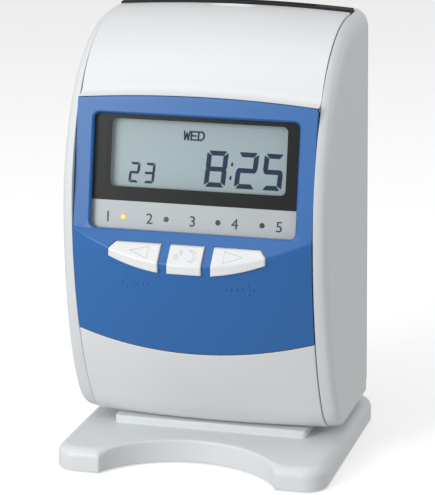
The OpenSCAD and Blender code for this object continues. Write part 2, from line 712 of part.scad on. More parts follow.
module lcd_frame() color([0.12, 0.12, 0.13]) on_window() difference() {
  slab([-lcd_w / 2 - lcd_rim, lcd_w / 2 + lcd_rim], [lcd_z - lcd_rim, lcd_z + lcd_h + lcd_rim - 0.8],
       [sheet_back, board_depth]);
  slab([-lcd_w / 2 - 0.6, lcd_w / 2 + 0.6], [lcd_z - 0.6, lcd_z + lcd_h + 0.6], [0, lcd_depth]);
  slab([-lcd_w / 2 - 1.6, lcd_w / 2 + 1.6], [lcd_z - 1.6, lcd_z + lcd_h + 1.2], [lcd_depth, board_depth + 1]);
}
module lcd_glass() color([0.66, 0.74, 0.75])
  on_window() slab([-lcd_w / 2 - 1.5, lcd_w / 2 + 1.5], [lcd_z - 1.5, lcd_z + lcd_h + 1.1], [lcd_depth, lcd_depth + 2]);
module lcd_reflector() color([0.85, 0.88, 0.88])
  on_window() slab([-lcd_w / 2 - 1.5, lcd_w / 2 + 1.5], [lcd_z - 1.5, lcd_z + lcd_h + 1.1], [lcd_depth + 2, board_depth]);
module front_board() color(board_green) on_window() difference() {
  slab([-board_half, board_half], [board_low, board_high], [board_depth, board_depth + board_t]);
  for (p = boss_places) peg(p[0], p[1], 1.1, [0, 40]);
}
module board_screws() color(zinc) on_window()
  for (p = boss_places) {
    peg(p[0], p[1], 0.85, [board_depth - 5, board_depth + board_t + 0.5]);
    peg(p[0], p[1], 2, [board_depth + board_t, board_depth + board_t + 1.4]);
  }
key_mid_x = (key_inner_x + key_tip_x) / 2 - 3;
switch_at = -14.5;
module tact_switches() color([0.25, 0.25, 0.27]) on_window()
  for (x = [-key_mid_x, 0, key_mid_x]) {
    slab([x - 3, x + 3], [switch_at - 3, switch_at + 3], [board_depth - switch_h + 1, board_depth]);
    peg(x, switch_at, 1.6, [board_depth - switch_h, board_depth - switch_h + 1.5]);
  }

// Keys

key_top_z = sill_z - key_top_drop;
key_crease_z = sill_z - key_crease_drop;
key_bottom_z = sill_z - key_bottom_drop;
key_tip_top = key_top_z - 3;
key_tip_low = key_tip_top - 4.1;
key_shelf_x = key_tip_x - 3.3;
// A point on a side key's lower edge, from the tip at 0 to the inner corner at 1
function key_low_edge(k, t) = [k * (key_tip_x + (key_inner_x - key_tip_x) * t),
  key_tip_low + (key_bottom_z - key_tip_low) * t - 4 * key_sag * t * (1 - t)];
module key_face(k) {
  if (k == 0)
    polygon([[-mid_key_half, key_bottom_z], [mid_key_half, key_bottom_z],
             [mid_key_half, key_top_z], [-mid_key_half, key_top_z]]);
  else
    polygon([[k * key_inner_x, key_bottom_z], [k * key_inner_x, key_top_z], [k * key_shelf_x, key_top_z],
             [k * key_tip_x, key_tip_top], for (t = [0:0.125:0.875]) key_low_edge(k, t)]);
}
module key_prism(k, grow, d) {
  translate([0, sb(d[1]), 0]) rotate([90, 0, 0]) linear_extrude(d[1] - d[0]) offset(delta = grow) key_face(k);
}
// Radius of the keys' bowed front, through the crease in the middle and the tips
key_tip_bow = bow(key_crease_z) * (1 - across(key_tip_x)) - 0.6;
key_front_r = (pow(key_tip_x, 2) + pow(key_tip_bow, 2)) / (2 * key_tip_bow);
key_back = sill_setback + 2;
shelf_slope = atan2(sill_setback - crease_setback - key_proud, crease_drop);
module key_cap(k) {
  intersection() {
    key_prism(k, 0, [crease_setback - 1, key_back]);
    rod_along_z(0, crease_setback + key_front_r, key_front_r, [key_bottom_z - 5, key_top_z + 5], $fn = 180);
    translate([-100, sb(crease_setback), key_crease_z]) rotate([-shelf_slope, 0, 0])
      translate([0, 0, -60]) cube([200, 60, 120]);
  }
}
module key_stem(k) {
  x = k * key_mid_x;
  stem_z = sill_z + switch_at * cos(window_tilt) - (board_depth - switch_h) * sin(window_tilt);
  stem_end = sill_setback + (board_depth - switch_h) * cos(window_tilt) + switch_at * sin(window_tilt) - key_travel - 0.6;
  block([x - 2, x + 2], [key_back - 1, stem_end], [stem_z - 2, stem_z + 2]);
}
module key(k) color([0.93, 0.94, 0.95]) {
  key_cap(k);
  key_stem(k);
}
module left_key() key(-1);
module middle_key() key(0);
module right_key() key(1);

// Inner frame

module frame_floor_plate() color(steel) difference() {
  block([-frame_half, frame_half], [frame_setback, frame_rear], [inner_z, frame_floor]);
  for (p = frame_screw_places) rod_along_z(p[0], p[1], 1.6, [inner_z - 1, frame_floor + 1]);
}
module side_frame() {
  difference() {
    block([frame_inner, frame_half], [frame_setback, frame_rear], [frame_floor, frame_top]);
    rod_along_x(feed_y, feed_z, feed_shaft_r + running, [0, 100]);
    rod_along_x(pinch_y, feed_z, pinch_shaft_r + running, [0, 100]);
    for (z = [rod_low_z, rod_high_z]) rod_along_x(rod_y_at, z, rod_r, [0, 100]);
  }
}
module left_side_frame() color(steel) mirror([1, 0, 0]) side_frame();
module right_side_frame() color(steel) difference() {
  side_frame();
  rod_along_x(pinion_y, feed_z, 3.5, [0, 100]);
}
module frame_screws() color(zinc)
  for (p = frame_screw_places) {
    rod_along_z(p[0], p[1], 1.4, [floor_z + 0.6, frame_floor + 0.5]);
    rod_along_z(p[0], p[1], 3, [frame_floor, frame_floor + 1.8]);
  }
module motor_bridge() color(steel) {
  difference() {
    block([-frame_inner, frame_inner], bridge_y, bridge_z);
    rod_along_y(-pulley_x, belt_z, 3, [bridge_y[0] - 1, bridge_y[1] + 1]);
  }
  rod_along_y(pulley_x, belt_z, 1.5, [bridge_y[1] - 0.5, belt_y[1] + 0.5]);
}

// Card path

module chute_front() color(steel) difference() {
  block([-chute_half, chute_half], [chute_front_face - chute_t, chute_front_face], [chute_low, chute_front_top]);
  for (s = [-1, 1]) block([s * roller_x - roller_len / 2 - 1, s * roller_x + roller_len / 2 + 1],
                          [chute_front_face - chute_t - 1, chute_front_face + 1],
                          [feed_z - feed_r - 1, feed_z + feed_r + 1]);
}
platen_half = slot_w / 2 + 2;
module chute_rear() color(steel) difference() {
  block([-chute_half, chute_half], [chute_rear_face, chute_rear_face + chute_t], [chute_low, bezel_bottom_z - 0.2]);
  for (s = [-1, 1]) block([s * roller_x - roller_len / 2 - 1, s * roller_x + roller_len / 2 + 1],
                          [chute_rear_face - 1, chute_rear_face + chute_t + 1],
                          [feed_z - pinch_r - 1, feed_z + pinch_r + 1]);
  block([-platen_half - touch, platen_half + touch], [chute_rear_face - 1, chute_rear_face + chute_t + 1],
        [arm_z[0] - touch, arm_z[1] + touch]);
}
module platen() color([0.15, 0.15, 0.16]) {
  block([-platen_half, platen_half], [chute_rear_face - 0.5, chute_rear_face + chute_t + 1], arm_z);
  block([-platen_half, platen_half], [chute_rear_face + chute_t, chute_rear_face + chute_t + 2],
        [arm_z[0] - 3, arm_z[1] + 3]);
}
module card_stop() color([0.2, 0.2, 0.22])
  block([-slot_w / 2, slot_w / 2], [chute_front_face, chute_rear_face], [chute_low, chute_low + 4]);
module card_sensor() color([0.15, 0.15, 0.17])
  block([chute_half - 2 * sensor_w, chute_half - sensor_w],
        [chute_front_face - chute_t - sensor_w * 0.7, chute_front_face - chute_t],
        [chute_low + 14, chute_low + 14 + sensor_w]);
module feed_shaft() color(steel)
  rod_along_x(feed_y, feed_z, feed_shaft_r, [-frame_half - 2, gear_x[1] + 0.5]);
module feed_rollers() color([0.16, 0.16, 0.17]) difference() {
  for (s = [-1, 1]) rod_along_x(feed_y, feed_z, feed_r, [s * roller_x - roller_len / 2, s * roller_x + roller_len / 2]);
  rod_along_x(feed_y, feed_z, feed_shaft_r, [-100, 100]);
}
module pinch_shaft() color(steel)
  rod_along_x(pinch_y, feed_z, pinch_shaft_r, [-frame_half - 1, frame_half + 1]);
module pinch_rollers() color([0.16, 0.16, 0.17]) difference() {
  for (s = [-1, 1]) rod_along_x(pinch_y, feed_z, pinch_r, [s * roller_x - roller_len / 2, s * roller_x + roller_len / 2]);
  rod_along_x(pinch_y, feed_z, pinch_shaft_r, [-100, 100]);
}
// Straight-flanked gear outline; phase 0.5 puts a gap on the first axis
function gear_points(teeth, phase) =
  let (r = gear_module * teeth / 2, step = 360 / teeth, tip = r + 0.9 * gear_module, root = r - 1.2 * gear_module)
  [for (i = [0:teeth - 1]) let (a = (i + phase) * step)
    each [root * [cos(a - step * 0.30), sin(a - step * 0.30)], tip * [cos(a - step * 0.11), sin(a - step * 0.11)],
          tip * [cos(a + step * 0.11), sin(a + step * 0.11)], root * [cos(a + step * 0.30), sin(a + step * 0.30)]]];
module gear(teeth, phase, d, bore) {
  translate([gear_x[0], sb(d), feed_z]) rotate([90, 0, 90]) linear_extrude(gear_x[1] - gear_x[0]) difference() {
    polygon(gear_points(teeth, phase));
    circle(r = bore);
  }
}
module feed_gear() color([0.88, 0.87, 0.80]) gear(gear_teeth, 0, feed_y, feed_shaft_r);
module feed_motor() color(zinc) difference() {
  union() {
    rod_along_x(pinion_y, feed_z, feed_motor_r, [frame_inner - 26, frame_inner]);
    rod_along_x(pinion_y, feed_z, 3.4, [frame_inner - 1, frame_half]);
  }
  rod_along_x(pinion_y, feed_z, 1 + running, [frame_inner - 14, 100]);
}
module motor_pinion() color([0.80, 0.66, 0.36]) {
  gear(pinion_teeth, 0.5, pinion_y, 1);
  rod_along_x(pinion_y, feed_z, 1, [frame_inner - 12, gear_x[1] + 0.5]);
}

// Printer

module carriage_rods() color(steel)
  for (z = [rod_low_z, rod_high_z]) rod_along_x(rod_y_at, z, rod_r, [-frame_half - 0.5, frame_half + 0.5]);
module print_carriage() color([0.22, 0.23, 0.25]) difference() {
  block([-carriage_w / 2, carriage_w / 2], carriage_y, carriage_z);
  for (z = [rod_low_z, rod_high_z]) rod_along_x(rod_y_at, z, rod_r + running, [-100, 100]);
}
ribbon_face = slot_mid - slot_gap / 2 - 0.2;
module print_head() color([0.55, 0.56, 0.58]) {
  block([-9, 9], [carriage_y[1], ribbon_face - 4], [print_z - 8, print_z + 8]);
  block([-3, 3], [carriage_y[1], ribbon_face - 0.9], [print_z - 4, print_z + 4]);
}
module carriage_motor() color(zinc) {
  rod_along_y(-pulley_x, belt_z, carriage_motor_r, [bridge_y[0] - carriage_motor_len, bridge_y[0]]);
}
module pulley(x, bore, d) {
  difference() {
    rod_along_y(x, belt_z, pulley_r, d);
    rod_along_y(x, belt_z, bore, [d[0] - 1, d[1] + 1]);
  }
}
module drive_pulley() color([0.85, 0.85, 0.82]) {
  rod_along_y(-pulley_x, belt_z, pulley_r, belt_y);
  rod_along_y(-pulley_x, belt_z, 2, [bridge_y[0] + 0.3, belt_y[0] + 0.5]);
}
module idler_pulley() color([0.85, 0.85, 0.82]) pulley(pulley_x, 1.5 + running, belt_y);
module belt_loop(r) {
  square([2 * pulley_x, 2 * r], center = true);
  for (s = [-1, 1]) translate([s * pulley_x, 0]) circle(r = r);
}
module carriage_belt() color([0.12, 0.12, 0.12])
  translate([0, sb(belt_y[1] - 0.2), belt_z]) rotate([90, 0, 0]) linear_extrude(belt_w - 0.4) difference() {
    belt_loop(pulley_r + 0.3 + belt_t);
    belt_loop(pulley_r + 0.3);
  }
module ribbon_cassette() color([0.14, 0.14, 0.15]) difference() {
  union() {
    block([-cassette_half, cassette_half], cassette_y, cassette_z);
    for (s = [-1, 1]) block([s * (cassette_half - arm_w / 2) - arm_w / 2, s * (cassette_half - arm_w / 2) + arm_w / 2],
                            [cassette_y[0], ribbon_face], arm_z);
  }
  rod_along_y(knob_x, print_z - 3, knob_shaft_r + running, [cassette_y[0] - 1, cassette_y[0] + 6]);
}
module ink_ribbon() color([0.20, 0.12, 0.30])
  block([-cassette_half + arm_w, cassette_half - arm_w], [ribbon_face - 0.4, ribbon_face - 0.1], [print_z - 4, print_z + 4]);
module ribbon_knob() color([0.20, 0.45, 0.75]) {
  rod_along_y(knob_x, print_z - 3, knob_r, [cassette_y[0] - 4.3, cassette_y[0] - 0.3]);
  block([knob_x - 1, knob_x + 1], [cassette_y[0] - 6, cassette_y[0] - 4], [print_z - 3 - knob_r * 0.8, print_z - 3 + knob_r * 0.8]);
  rod_along_y(knob_x, print_z - 3, knob_shaft_r, [cassette_y[0] - 1, cassette_y[0] + 5]);
}

// Electrics

main_board_back = rear_inner - main_board_gap;
main_board_half = frame_half - main_board_inset;
module main_board() color(board_green)
  block([-main_board_half, main_board_half], [main_board_back - board_t, main_board_back],
        [inner_z + main_board_low, inner_z + main_board_low + main_board_h]);
module buzzer() color(black)
  rod_along_y(-main_board_half + buzzer_r + 5, inner_z + main_board_low + buzzer_r + 9, buzzer_r,
              [main_board_back - board_t - buzzer_r * 0.7, main_board_back - board_t]);
core_x = -frame_inner + 14.5;
core_setback = frame_setback + 12;
coil_out = 3;
module transformer() color([0.45, 0.40, 0.36]) {
  block([core_x, core_x + core_w], [core_setback, core_setback + core_d], [frame_floor, frame_floor + core_h]);
  block([core_x + core_w * 0.2, core_x + core_w * 0.8], [core_setback - coil_out, core_setback + core_d + coil_out],
        [frame_floor + core_h * 0.17, frame_floor + core_h * 0.83]);
}
module backup_battery() color([0.20, 0.35, 0.62])
  rod_along_x(frame_setback + 20, frame_floor + battery_r, battery_r,
              [frame_inner - 10.5 - battery_len, frame_inner - 10.5]);

base_stand();
rubber_feet();
stand_screws();
rear_case();
rear_cover();
rear_screws();
card_slot_bezel();
power_inlet();
upper_cover();
lower_cover();
blue_panel();
cover_frame();
window_lens();
lens_mask();
label_strip();
lcd_frame();
lcd_glass();
lcd_reflector();
lamp_lit();
lamps_dark();
front_board();
board_screws();
tact_switches();
left_key();
middle_key();
right_key();
frame_floor_plate();
left_side_frame();
right_side_frame();
frame_screws();
motor_bridge();
chute_front();
chute_rear();
card_stop();
card_sensor();
platen();
carriage_rods();
print_carriage();
print_head();
carriage_motor();
drive_pulley();
idler_pulley();
carriage_belt();
ribbon_cassette();
ink_ribbon();
ribbon_knob();
feed_shaft();
feed_rollers();
feed_gear();
pinch_shaft();
pinch_rollers();
feed_motor();
motor_pinion();
main_board();
transformer();
backup_battery();
buzzer();
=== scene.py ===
import math

import bmesh
import bpy
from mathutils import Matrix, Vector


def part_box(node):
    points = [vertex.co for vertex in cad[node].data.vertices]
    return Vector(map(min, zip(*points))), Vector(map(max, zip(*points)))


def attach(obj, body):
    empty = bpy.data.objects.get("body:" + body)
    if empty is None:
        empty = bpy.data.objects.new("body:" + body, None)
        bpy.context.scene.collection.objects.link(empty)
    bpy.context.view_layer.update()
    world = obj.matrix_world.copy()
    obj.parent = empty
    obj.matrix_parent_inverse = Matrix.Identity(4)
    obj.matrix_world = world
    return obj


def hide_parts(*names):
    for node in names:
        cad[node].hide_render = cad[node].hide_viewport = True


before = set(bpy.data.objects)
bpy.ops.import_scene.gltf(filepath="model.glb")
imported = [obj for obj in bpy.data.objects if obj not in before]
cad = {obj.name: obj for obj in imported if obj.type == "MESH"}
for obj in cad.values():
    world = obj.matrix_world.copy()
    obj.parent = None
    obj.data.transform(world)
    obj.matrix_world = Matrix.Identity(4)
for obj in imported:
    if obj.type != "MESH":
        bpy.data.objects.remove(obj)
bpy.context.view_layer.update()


# Inner frame: a floor plate, two side frames and a bridge for the printer's motor, with the two
# sheets of the card chute between them. All are stamped from zinc plated sheet steel and screwed
# or tabbed together, and they keep the long drawn grain of the sheet.
def finish_of(
    name, colour, roughness, metal=0.0, mottle=0.05, cloud=40.0, grain=1500.0, depth=0.00002,
    drawn=(1, 1, 1)
):
    finish = bpy.data.materials.new(name)
    finish.use_nodes = True
    tree = finish.node_tree
    surface = tree.nodes["Principled BSDF"]
    surface.inputs["Metallic"].default_value = metal
    place = tree.nodes.new("ShaderNodeTexCoord")
    stretch = tree.nodes.new("ShaderNodeMapping")
    stretch.inputs["Scale"].default_value = drawn
    tree.links.new(place.outputs["Object"], stretch.inputs["Vector"])
    clouds = tree.nodes.new("ShaderNodeTexNoise")
    clouds.inputs["Scale"].default_value = cloud
    clouds.inputs["Detail"].default_value = 4.0
    tree.links.new(stretch.outputs["Vector"], clouds.inputs["Vector"])
    tint = tree.nodes.new("ShaderNodeMix")
    tint.data_type = "RGBA"
    tint_share, tint_low, tint_high, tint_result = 0, 6, 7, 2
    tint.inputs[tint_low].default_value = [c * (1 - mottle) for c in colour] + [1]
    tint.inputs[tint_high].default_value = [min(1, c * (1 + mottle)) for c in colour] + [1]
    tree.links.new(clouds.outputs["Fac"], tint.inputs[tint_share])
    tree.links.new(tint.outputs[tint_result], surface.inputs["Base Color"])
    polish = tree.nodes.new("ShaderNodeMapRange")
    spread, smoothest = 0.05, 0.02
    polish.inputs["To Min"].default_value = max(smoothest, roughness - spread)
    polish.inputs["To Max"].default_value = roughness + spread
    tree.links.new(clouds.outputs["Fac"], polish.inputs["Value"])
    tree.links.new(polish.outputs["Result"], surface.inputs["Roughness"])
    pits = tree.nodes.new("ShaderNodeTexNoise")
    pits.inputs["Scale"].default_value = grain
    pits.inputs["Detail"].default_value = 2.0
    tree.links.new(stretch.outputs["Vector"], pits.inputs["Vector"])
    relief = tree.nodes.new("ShaderNodeBump")
    relief.inputs["Strength"].default_value = 0.35
    relief.inputs["Distance"].default_value = depth
    tree.links.new(pits.outputs["Fac"], relief.inputs["Height"])
    tree.links.new(relief.outputs["Normal"], surface.inputs["Normal"])
    return finish


def dress(finish, *names):
    for name in names:
        cad[name].data.materials.clear()
        cad[name].data.materials.append(finish)
        cad[name].data.set_sharp_from_angle(angle=math.radians(30))


plated_sheet = finish_of("plated_sheet", (0.55, 0.56, 0.58), 0.38, metal=0.9, drawn=(1, 1, 0.08))
dress(plated_sheet, "frame_floor_plate", "left_side_frame", "right_side_frame", "motor_bridge")
dress(plated_sheet, "chute_front", "chute_rear")

# Screws of the frame, the stand, the rear cover and the front board: cold headed steel with a
# bright zinc coat, driven into moulded posts or into the floor of the case.
bright_zinc = finish_of("bright_zinc", (0.60, 0.62, 0.64), 0.28, metal=1.0, cloud=300.0)
dress(bright_zinc, "frame_screws", "stand_screws", "rear_screws", "board_screws")

# Shafts, rods and the print head: ground steel bar and a machined steel block, bare and lightly
# oiled. The shafts and rods reach from one side frame to the other.
ground_bar = finish_of("ground_bar", (0.63, 0.64, 0.66), 0.22, metal=1.0, drawn=(0.05, 1, 1), grain=2500.0)
dress(ground_bar, "feed_shaft", "pinch_shaft", "carriage_rods", "print_head")

# Rollers, platen, belt and feet: black moulded rubber with a dull ground face. The rollers sit on
# their shafts, and the feet are stuck under the stand's four posts.
black_rubber = finish_of(
    "black_rubber", (0.035, 0.035, 0.036), 0.75, mottle=0.25, grain=900.0, depth=0.00006
)
dress(black_rubber, "feed_rollers", "pinch_rollers", "platen", "carriage_belt", "rubber_feet")

# Gears and pulleys: cream acetal mouldings that drive the card and the carriage. The motor's own
# pinion is cut from brass.
cream_acetal = finish_of("cream_acetal", (0.72, 0.69, 0.60), 0.45)
dress(cream_acetal, "feed_gear", "drive_pulley", "idler_pulley")
cut_brass = finish_of("cut_brass", (0.66, 0.47, 0.18), 0.28, metal=1.0, grain=2500.0)
dress(cut_brass, "motor_pinion")

# Motors: one for the card feed and one for the carriage. Both are drawn steel cans, dull zinc
# plated and screwed to the frame.
motor_can = finish_of("motor_can", (0.46, 0.47, 0.49), 0.42, metal=0.9, mottle=0.1)
dress(motor_can, "feed_motor", "carriage_motor")

# Carriage, card stop, sensor, cassette, inlet, key switches and buzzer: black and dark grey
# glass-filled mouldings with a fine spark-eroded grain.
dark_moulding = finish_of(
    "dark_moulding", (0.05, 0.05, 0.055), 0.55, mottle=0.15, grain=1800.0, depth=0.00004
)
dress(dark_moulding, "print_carriage", "card_stop", "card_sensor", "ribbon_cassette")
dress(dark_moulding, "power_inlet", "tact_switches", "buzzer")

# Ink ribbon: a strip of woven nylon soaked in violet ink, stretched between the cassette's arms
# in front of the platen.
inked_cloth = finish_of(
    "inked_cloth", (0.05, 0.02, 0.10), 0.85, mottle=0.3, cloud=900.0, grain=4000.0, depth=0.00008
)
dress(inked_cloth, "ink_ribbon")

# Ribbon knob: a blue moulding pressed on the cassette's take-up spindle, turned by hand to take
# up the slack of the ribbon.
knob_moulding = finish_of("knob_moulding", (0.06, 0.20, 0.48), 0.45)
dress(knob_moulding, "ribbon_knob")

# Circuit boards: glass-fibre laminate under green solder resist, with the copper below it showing
# as darker streaks. One is screwed on behind the display, the other is in the case.
board_resist = finish_of(
    "board_resist", (0.02, 0.16, 0.075), 0.35, mottle=0.35, cloud=160.0, drawn=(1, 1, 0.2)
)
dress(board_resist, "front_board", "main_board")

# Transformer and backup battery: varnished steel laminations, and a cell in a blue shrink sleeve.
# Both rest on the floor plate of the inner frame.
varnished_core = finish_of(
    "varnished_core", (0.16, 0.12, 0.09), 0.5, metal=0.4, mottle=0.2, drawn=(1, 20, 1)
)
dress(varnished_core, "transformer")
shrink_sleeve = finish_of("shrink_sleeve", (0.05, 0.14, 0.38), 0.3)
dress(shrink_sleeve, "backup_battery")

# Cover frame and display frame: the grey rails behind the front cover, and the black box that
# holds the display a few millimetres behind the window, with a pale reflector behind the glass.
grey_moulding = finish_of("grey_moulding", (0.45, 0.47, 0.49), 0.5)
dress(grey_moulding, "cover_frame")
black_box = finish_of("black_box", (0.012, 0.012, 0.014), 0.6, mottle=0.2)
dress(black_box, "lcd_frame")
pale_foil = finish_of("pale_foil", (0.62, 0.66, 0.66), 0.35)
dress(pale_foil, "lcd_reflector")

# Stand: a hollow white ABS moulding with a well rounded rim, a round bite out of its front for the
# hand, and a low riser that the case is screwed to from below.
mm = 1000.0
weld = 1e-7
front_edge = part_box("base_stand")[0].y * mm
white_abs = finish_of(
    "white_abs", (0.76, 0.785, 0.80), 0.42, mottle=0.012, cloud=25.0, grain=2200.0, depth=0.000012
)


def build(name, points, faces, finish, body, sharp=35):
    mesh = bpy.data.meshes.new(name)
    mesh.from_pydata([(x / mm, (d + front_edge) / mm, z / mm) for x, d, z in points], [], faces)
    form = bmesh.new()
    form.from_mesh(mesh)
    bmesh.ops.remove_doubles(form, verts=form.verts, dist=weld)
    loose = [v for v in form.verts if not v.link_faces]
    bmesh.ops.delete(form, geom=loose, context="VERTS")
    bmesh.ops.recalc_face_normals(form, faces=form.faces)
    form.to_mesh(mesh)
    form.free()
    mesh.polygons.foreach_set("use_smooth", [True] * len(mesh.polygons))
    mesh.set_sharp_from_angle(angle=math.radians(sharp))
    made = bpy.data.objects.new(name, mesh)
    bpy.context.scene.collection.objects.link(made)
    mesh.materials.append(finish)
    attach(made, body)
    return made


def loft(loops):
    count = len(loops[0])
    points = [p for loop in loops for p in loop]
    faces = []
    for k in range(len(loops) - 1):
        for i in range(count):
            j = (i + 1) % count
            faces.append((k * count + i, k * count + j, (k + 1) * count + j, (k + 1) * count + i))
    faces.append(tuple(range(count)))
    faces.append(tuple((len(loops) - 1) * count + i for i in range(count)))
    return points, faces


def together(*parts):
    points, faces = [], []
    for part_points, part_faces in parts:
        start = len(points)
        points += part_points
        faces += [tuple(start + i for i in face) for face in part_faces]
    return points, faces


def inward(outline, amounts, closed=True):
    moved = []
    count = len(outline)
    for i, (x, y) in enumerate(outline):
        before = outline[i - 1] if closed or i > 0 else None
        after = outline[(i + 1) % count] if closed or i < count - 1 else None
        normals = []
        for a, b in ((before, (x, y)), ((x, y), after)):
            if a is None or b is None:
                continue
            length = math.hypot(b[0] - a[0], b[1] - a[1])
            normals.append((-(b[1] - a[1]) / length, (b[0] - a[0]) / length))
        nx = sum(n[0] for n in normals)
        ny = sum(n[1] for n in normals)
        size = math.hypot(nx, ny)
        nx, ny = nx / size, ny / size
        turn = nx * normals[0][0] + ny * normals[0][1]
        moved.append((x + nx * amounts[i] / turn, y + ny * amounts[i] / turn))
    return moved


stand_w, stand_d, stand_h, stand_low = 150.0, 137.0, 13.5, 0.6
stand_corner, stand_rim, bite_rim = 12.0, 5.5, 1.4
stand_wall, stand_deck = 3.0, 3.2
bite_half, bite_depth = 49.0, 29.3
bite_r = (bite_half ** 2 + bite_depth ** 2) / (2 * bite_depth)
bite_middle = bite_depth - bite_r
bite_steps, horn_steps, corner_steps, rim_steps = 24, 5, 12, 8
horn_run = (1.5, 4.0, 7.0)


def stand_line(turn, bite_extra=0.0, edge_extra=0.0):
    fall, rise = 1 - math.cos(turn), math.sin(turn)
    edge_in = edge_extra + stand_rim * fall
    edge_z = stand_h - stand_rim + stand_rim * rise
    widening = [max(0.0, (i - bite_steps + horn_steps) / horn_steps) ** 2 for i in range(bite_steps + 1)]
    rims = [bite_rim + (stand_rim - bite_rim) * share for share in widening]
    reaches = [bite_r + bite_extra + r * fall for r in rims]
    sweep = math.acos((edge_in - bite_middle) / reaches[-1])
    half = []
    for i, (r, reach) in enumerate(zip(rims, reaches)):
        a = sweep * i / bite_steps
        half.append((reach * math.sin(a), bite_middle + reach * math.cos(a), stand_h - r + r * rise))
    horn_x = reaches[-1] * math.sin(sweep)
    half += [(horn_x + step, edge_in, edge_z) for step in horn_run]
    corner_r = stand_corner - edge_in
    for middle_d, quarter in ((stand_corner, -90), (stand_d - stand_corner, 0)):
        for i in range(corner_steps + 1):
            a = math.radians(quarter + 90 * i / corner_steps)
            x = stand_w / 2 - stand_corner + corner_r * math.cos(a)
            half.append((x, middle_d + corner_r * math.sin(a), edge_z))
    half.append((0.0, stand_d - edge_in, edge_z))
    return half + [(-x, d, z) for x, d, z in reversed(half[1:-1])]


def at_height(line, height):
    return [(x, d, height) for x, d, z in line]


foot_in, foot_rise = 0.4, 0.5
hollow = stand_line(0.0, stand_wall, stand_wall)
underside = [
    at_height(hollow, stand_h - stand_deck),
    at_height(hollow, stand_low),
    at_height(stand_line(0.0, foot_in, foot_in), stand_low),
    at_height(stand_line(0.0), stand_low + foot_rise),
]
outer_loops = [stand_line(math.radians(90 * step / rim_steps)) for step in range(rim_steps + 1)]


def soften(piece, width, angle=50):
    edge = piece.modifiers.new("edge", "BEVEL")
    edge.width = width / mm
    edge.segments = 3
    edge.limit_method = "ANGLE"
    edge.angle_limit = math.radians(angle)


def arc(x, y, r, turns):
    return [(x + r * math.cos(math.radians(a)), y + r * math.sin(math.radians(a))) for a in turns]


def corner_arcs(x0, x1, y0, y1, r, steps):
    middles = ((x1 - r, y0 + r, -90), (x1 - r, y1 - r, 0), (x0 + r, y1 - r, 90), (x0 + r, y0 + r, 180))
    return [arc(x, y, r, [start + 90 / steps * i for i in range(steps + 1)]) for x, y, start in middles]


def rounded_block(x0, x1, d0, d1, z0, z1, corner, edge):
    plan_steps, edge_steps = 6, 4
    plan = [place for bend in corner_arcs(x0, x1, d0, d1, corner, plan_steps) for place in bend]
    loops = [[(x, d, z0) for x, d in plan]]
    for step in range(edge_steps + 1):
        a = math.radians(90 * step / edge_steps)
        ring = inward(plan, [edge * (1 - math.cos(a))] * len(plan))
        loops.append([(x, d, z1 - edge + edge * math.sin(a)) for x, d in ring])
    return loft(loops)


def post(x, d, radius, z0, z1):
    ring = arc(x, d, radius, range(0, 360, 15))
    return loft([[(ring_x, ring_d, z) for ring_x, ring_d in ring] for z in (z0, z1)])


floor_z = 18.0
riser_half, riser_front, riser_back = 54.5, 47.0, 115.0
riser_sunk, riser_corner, riser_edge = 0.5, 2.5, 0.5
post_top = stand_h - stand_wall
foot_x, foot_places, foot_r, foot_low = 62.0, (14.0, 123.0), 8.0, 3.0
screw_x, screw_places, screw_r, screw_low = 36.0, (61.0, 101.0), 6.0, stand_h - 5.0
riser = rounded_block(
    -riser_half, riser_half, riser_front, riser_back,
    stand_h - riser_sunk, floor_z, riser_corner, riser_edge
)
stand_parts = [loft(underside + outer_loops), riser]
for x in (-foot_x, foot_x):
    for d in foot_places:
        stand_parts.append(post(x, d, foot_r, foot_low, post_top))
for x in (-screw_x, screw_x):
    for d in screw_places:
        stand_parts.append(post(x, d, screw_r, screw_low, post_top))
stand = build("stand_moulding", *together(*stand_parts), white_abs, "cabinet")
soften(stand, 0.9, angle=48)
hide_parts("base_stand")

# Case: one white ABS moulding with two tall side walls that follow the clock's bowed profile, a
# floor and a strip behind the card slot. Its shoulders are rolled over to meet the front cover.
toe, toe_heading = (57.85, floor_z), 161.0
bends = ((36.95, 38.6), (157.5, 13.4), (230.0, 19.0), (125.0, 28.0), (76.0, 60.0))
bend_steps = 18
top_slope = math.tan(math.radians(2.0))


def bowed_profile():
    line = [toe]
    (d, z), heading = toe, toe_heading
    for radius, sweep in bends:
        for i in range(1, bend_steps + 1):
            a, b = math.radians(heading), math.radians(heading - sweep * i / bend_steps)
            back, up = math.sin(a) - math.sin(b), math.cos(b) - math.cos(a)
            line.append((d + radius * back, z + radius * up))
        (d, z), heading = line[-1], heading - sweep
    return line


profile_line = bowed_profile()


def setback_at(z):
    for (d0, z0), (d1, z1) in zip(profile_line, profile_line[1:]):
        if z <= z1:
            return d0 + (d1 - d0) * (z - z0) / (z1 - z0)
    return profile_line[-1][0]


def top_at(d):
    return profile_line[-1][1] + (d - profile_line[-1][0]) * top_slope


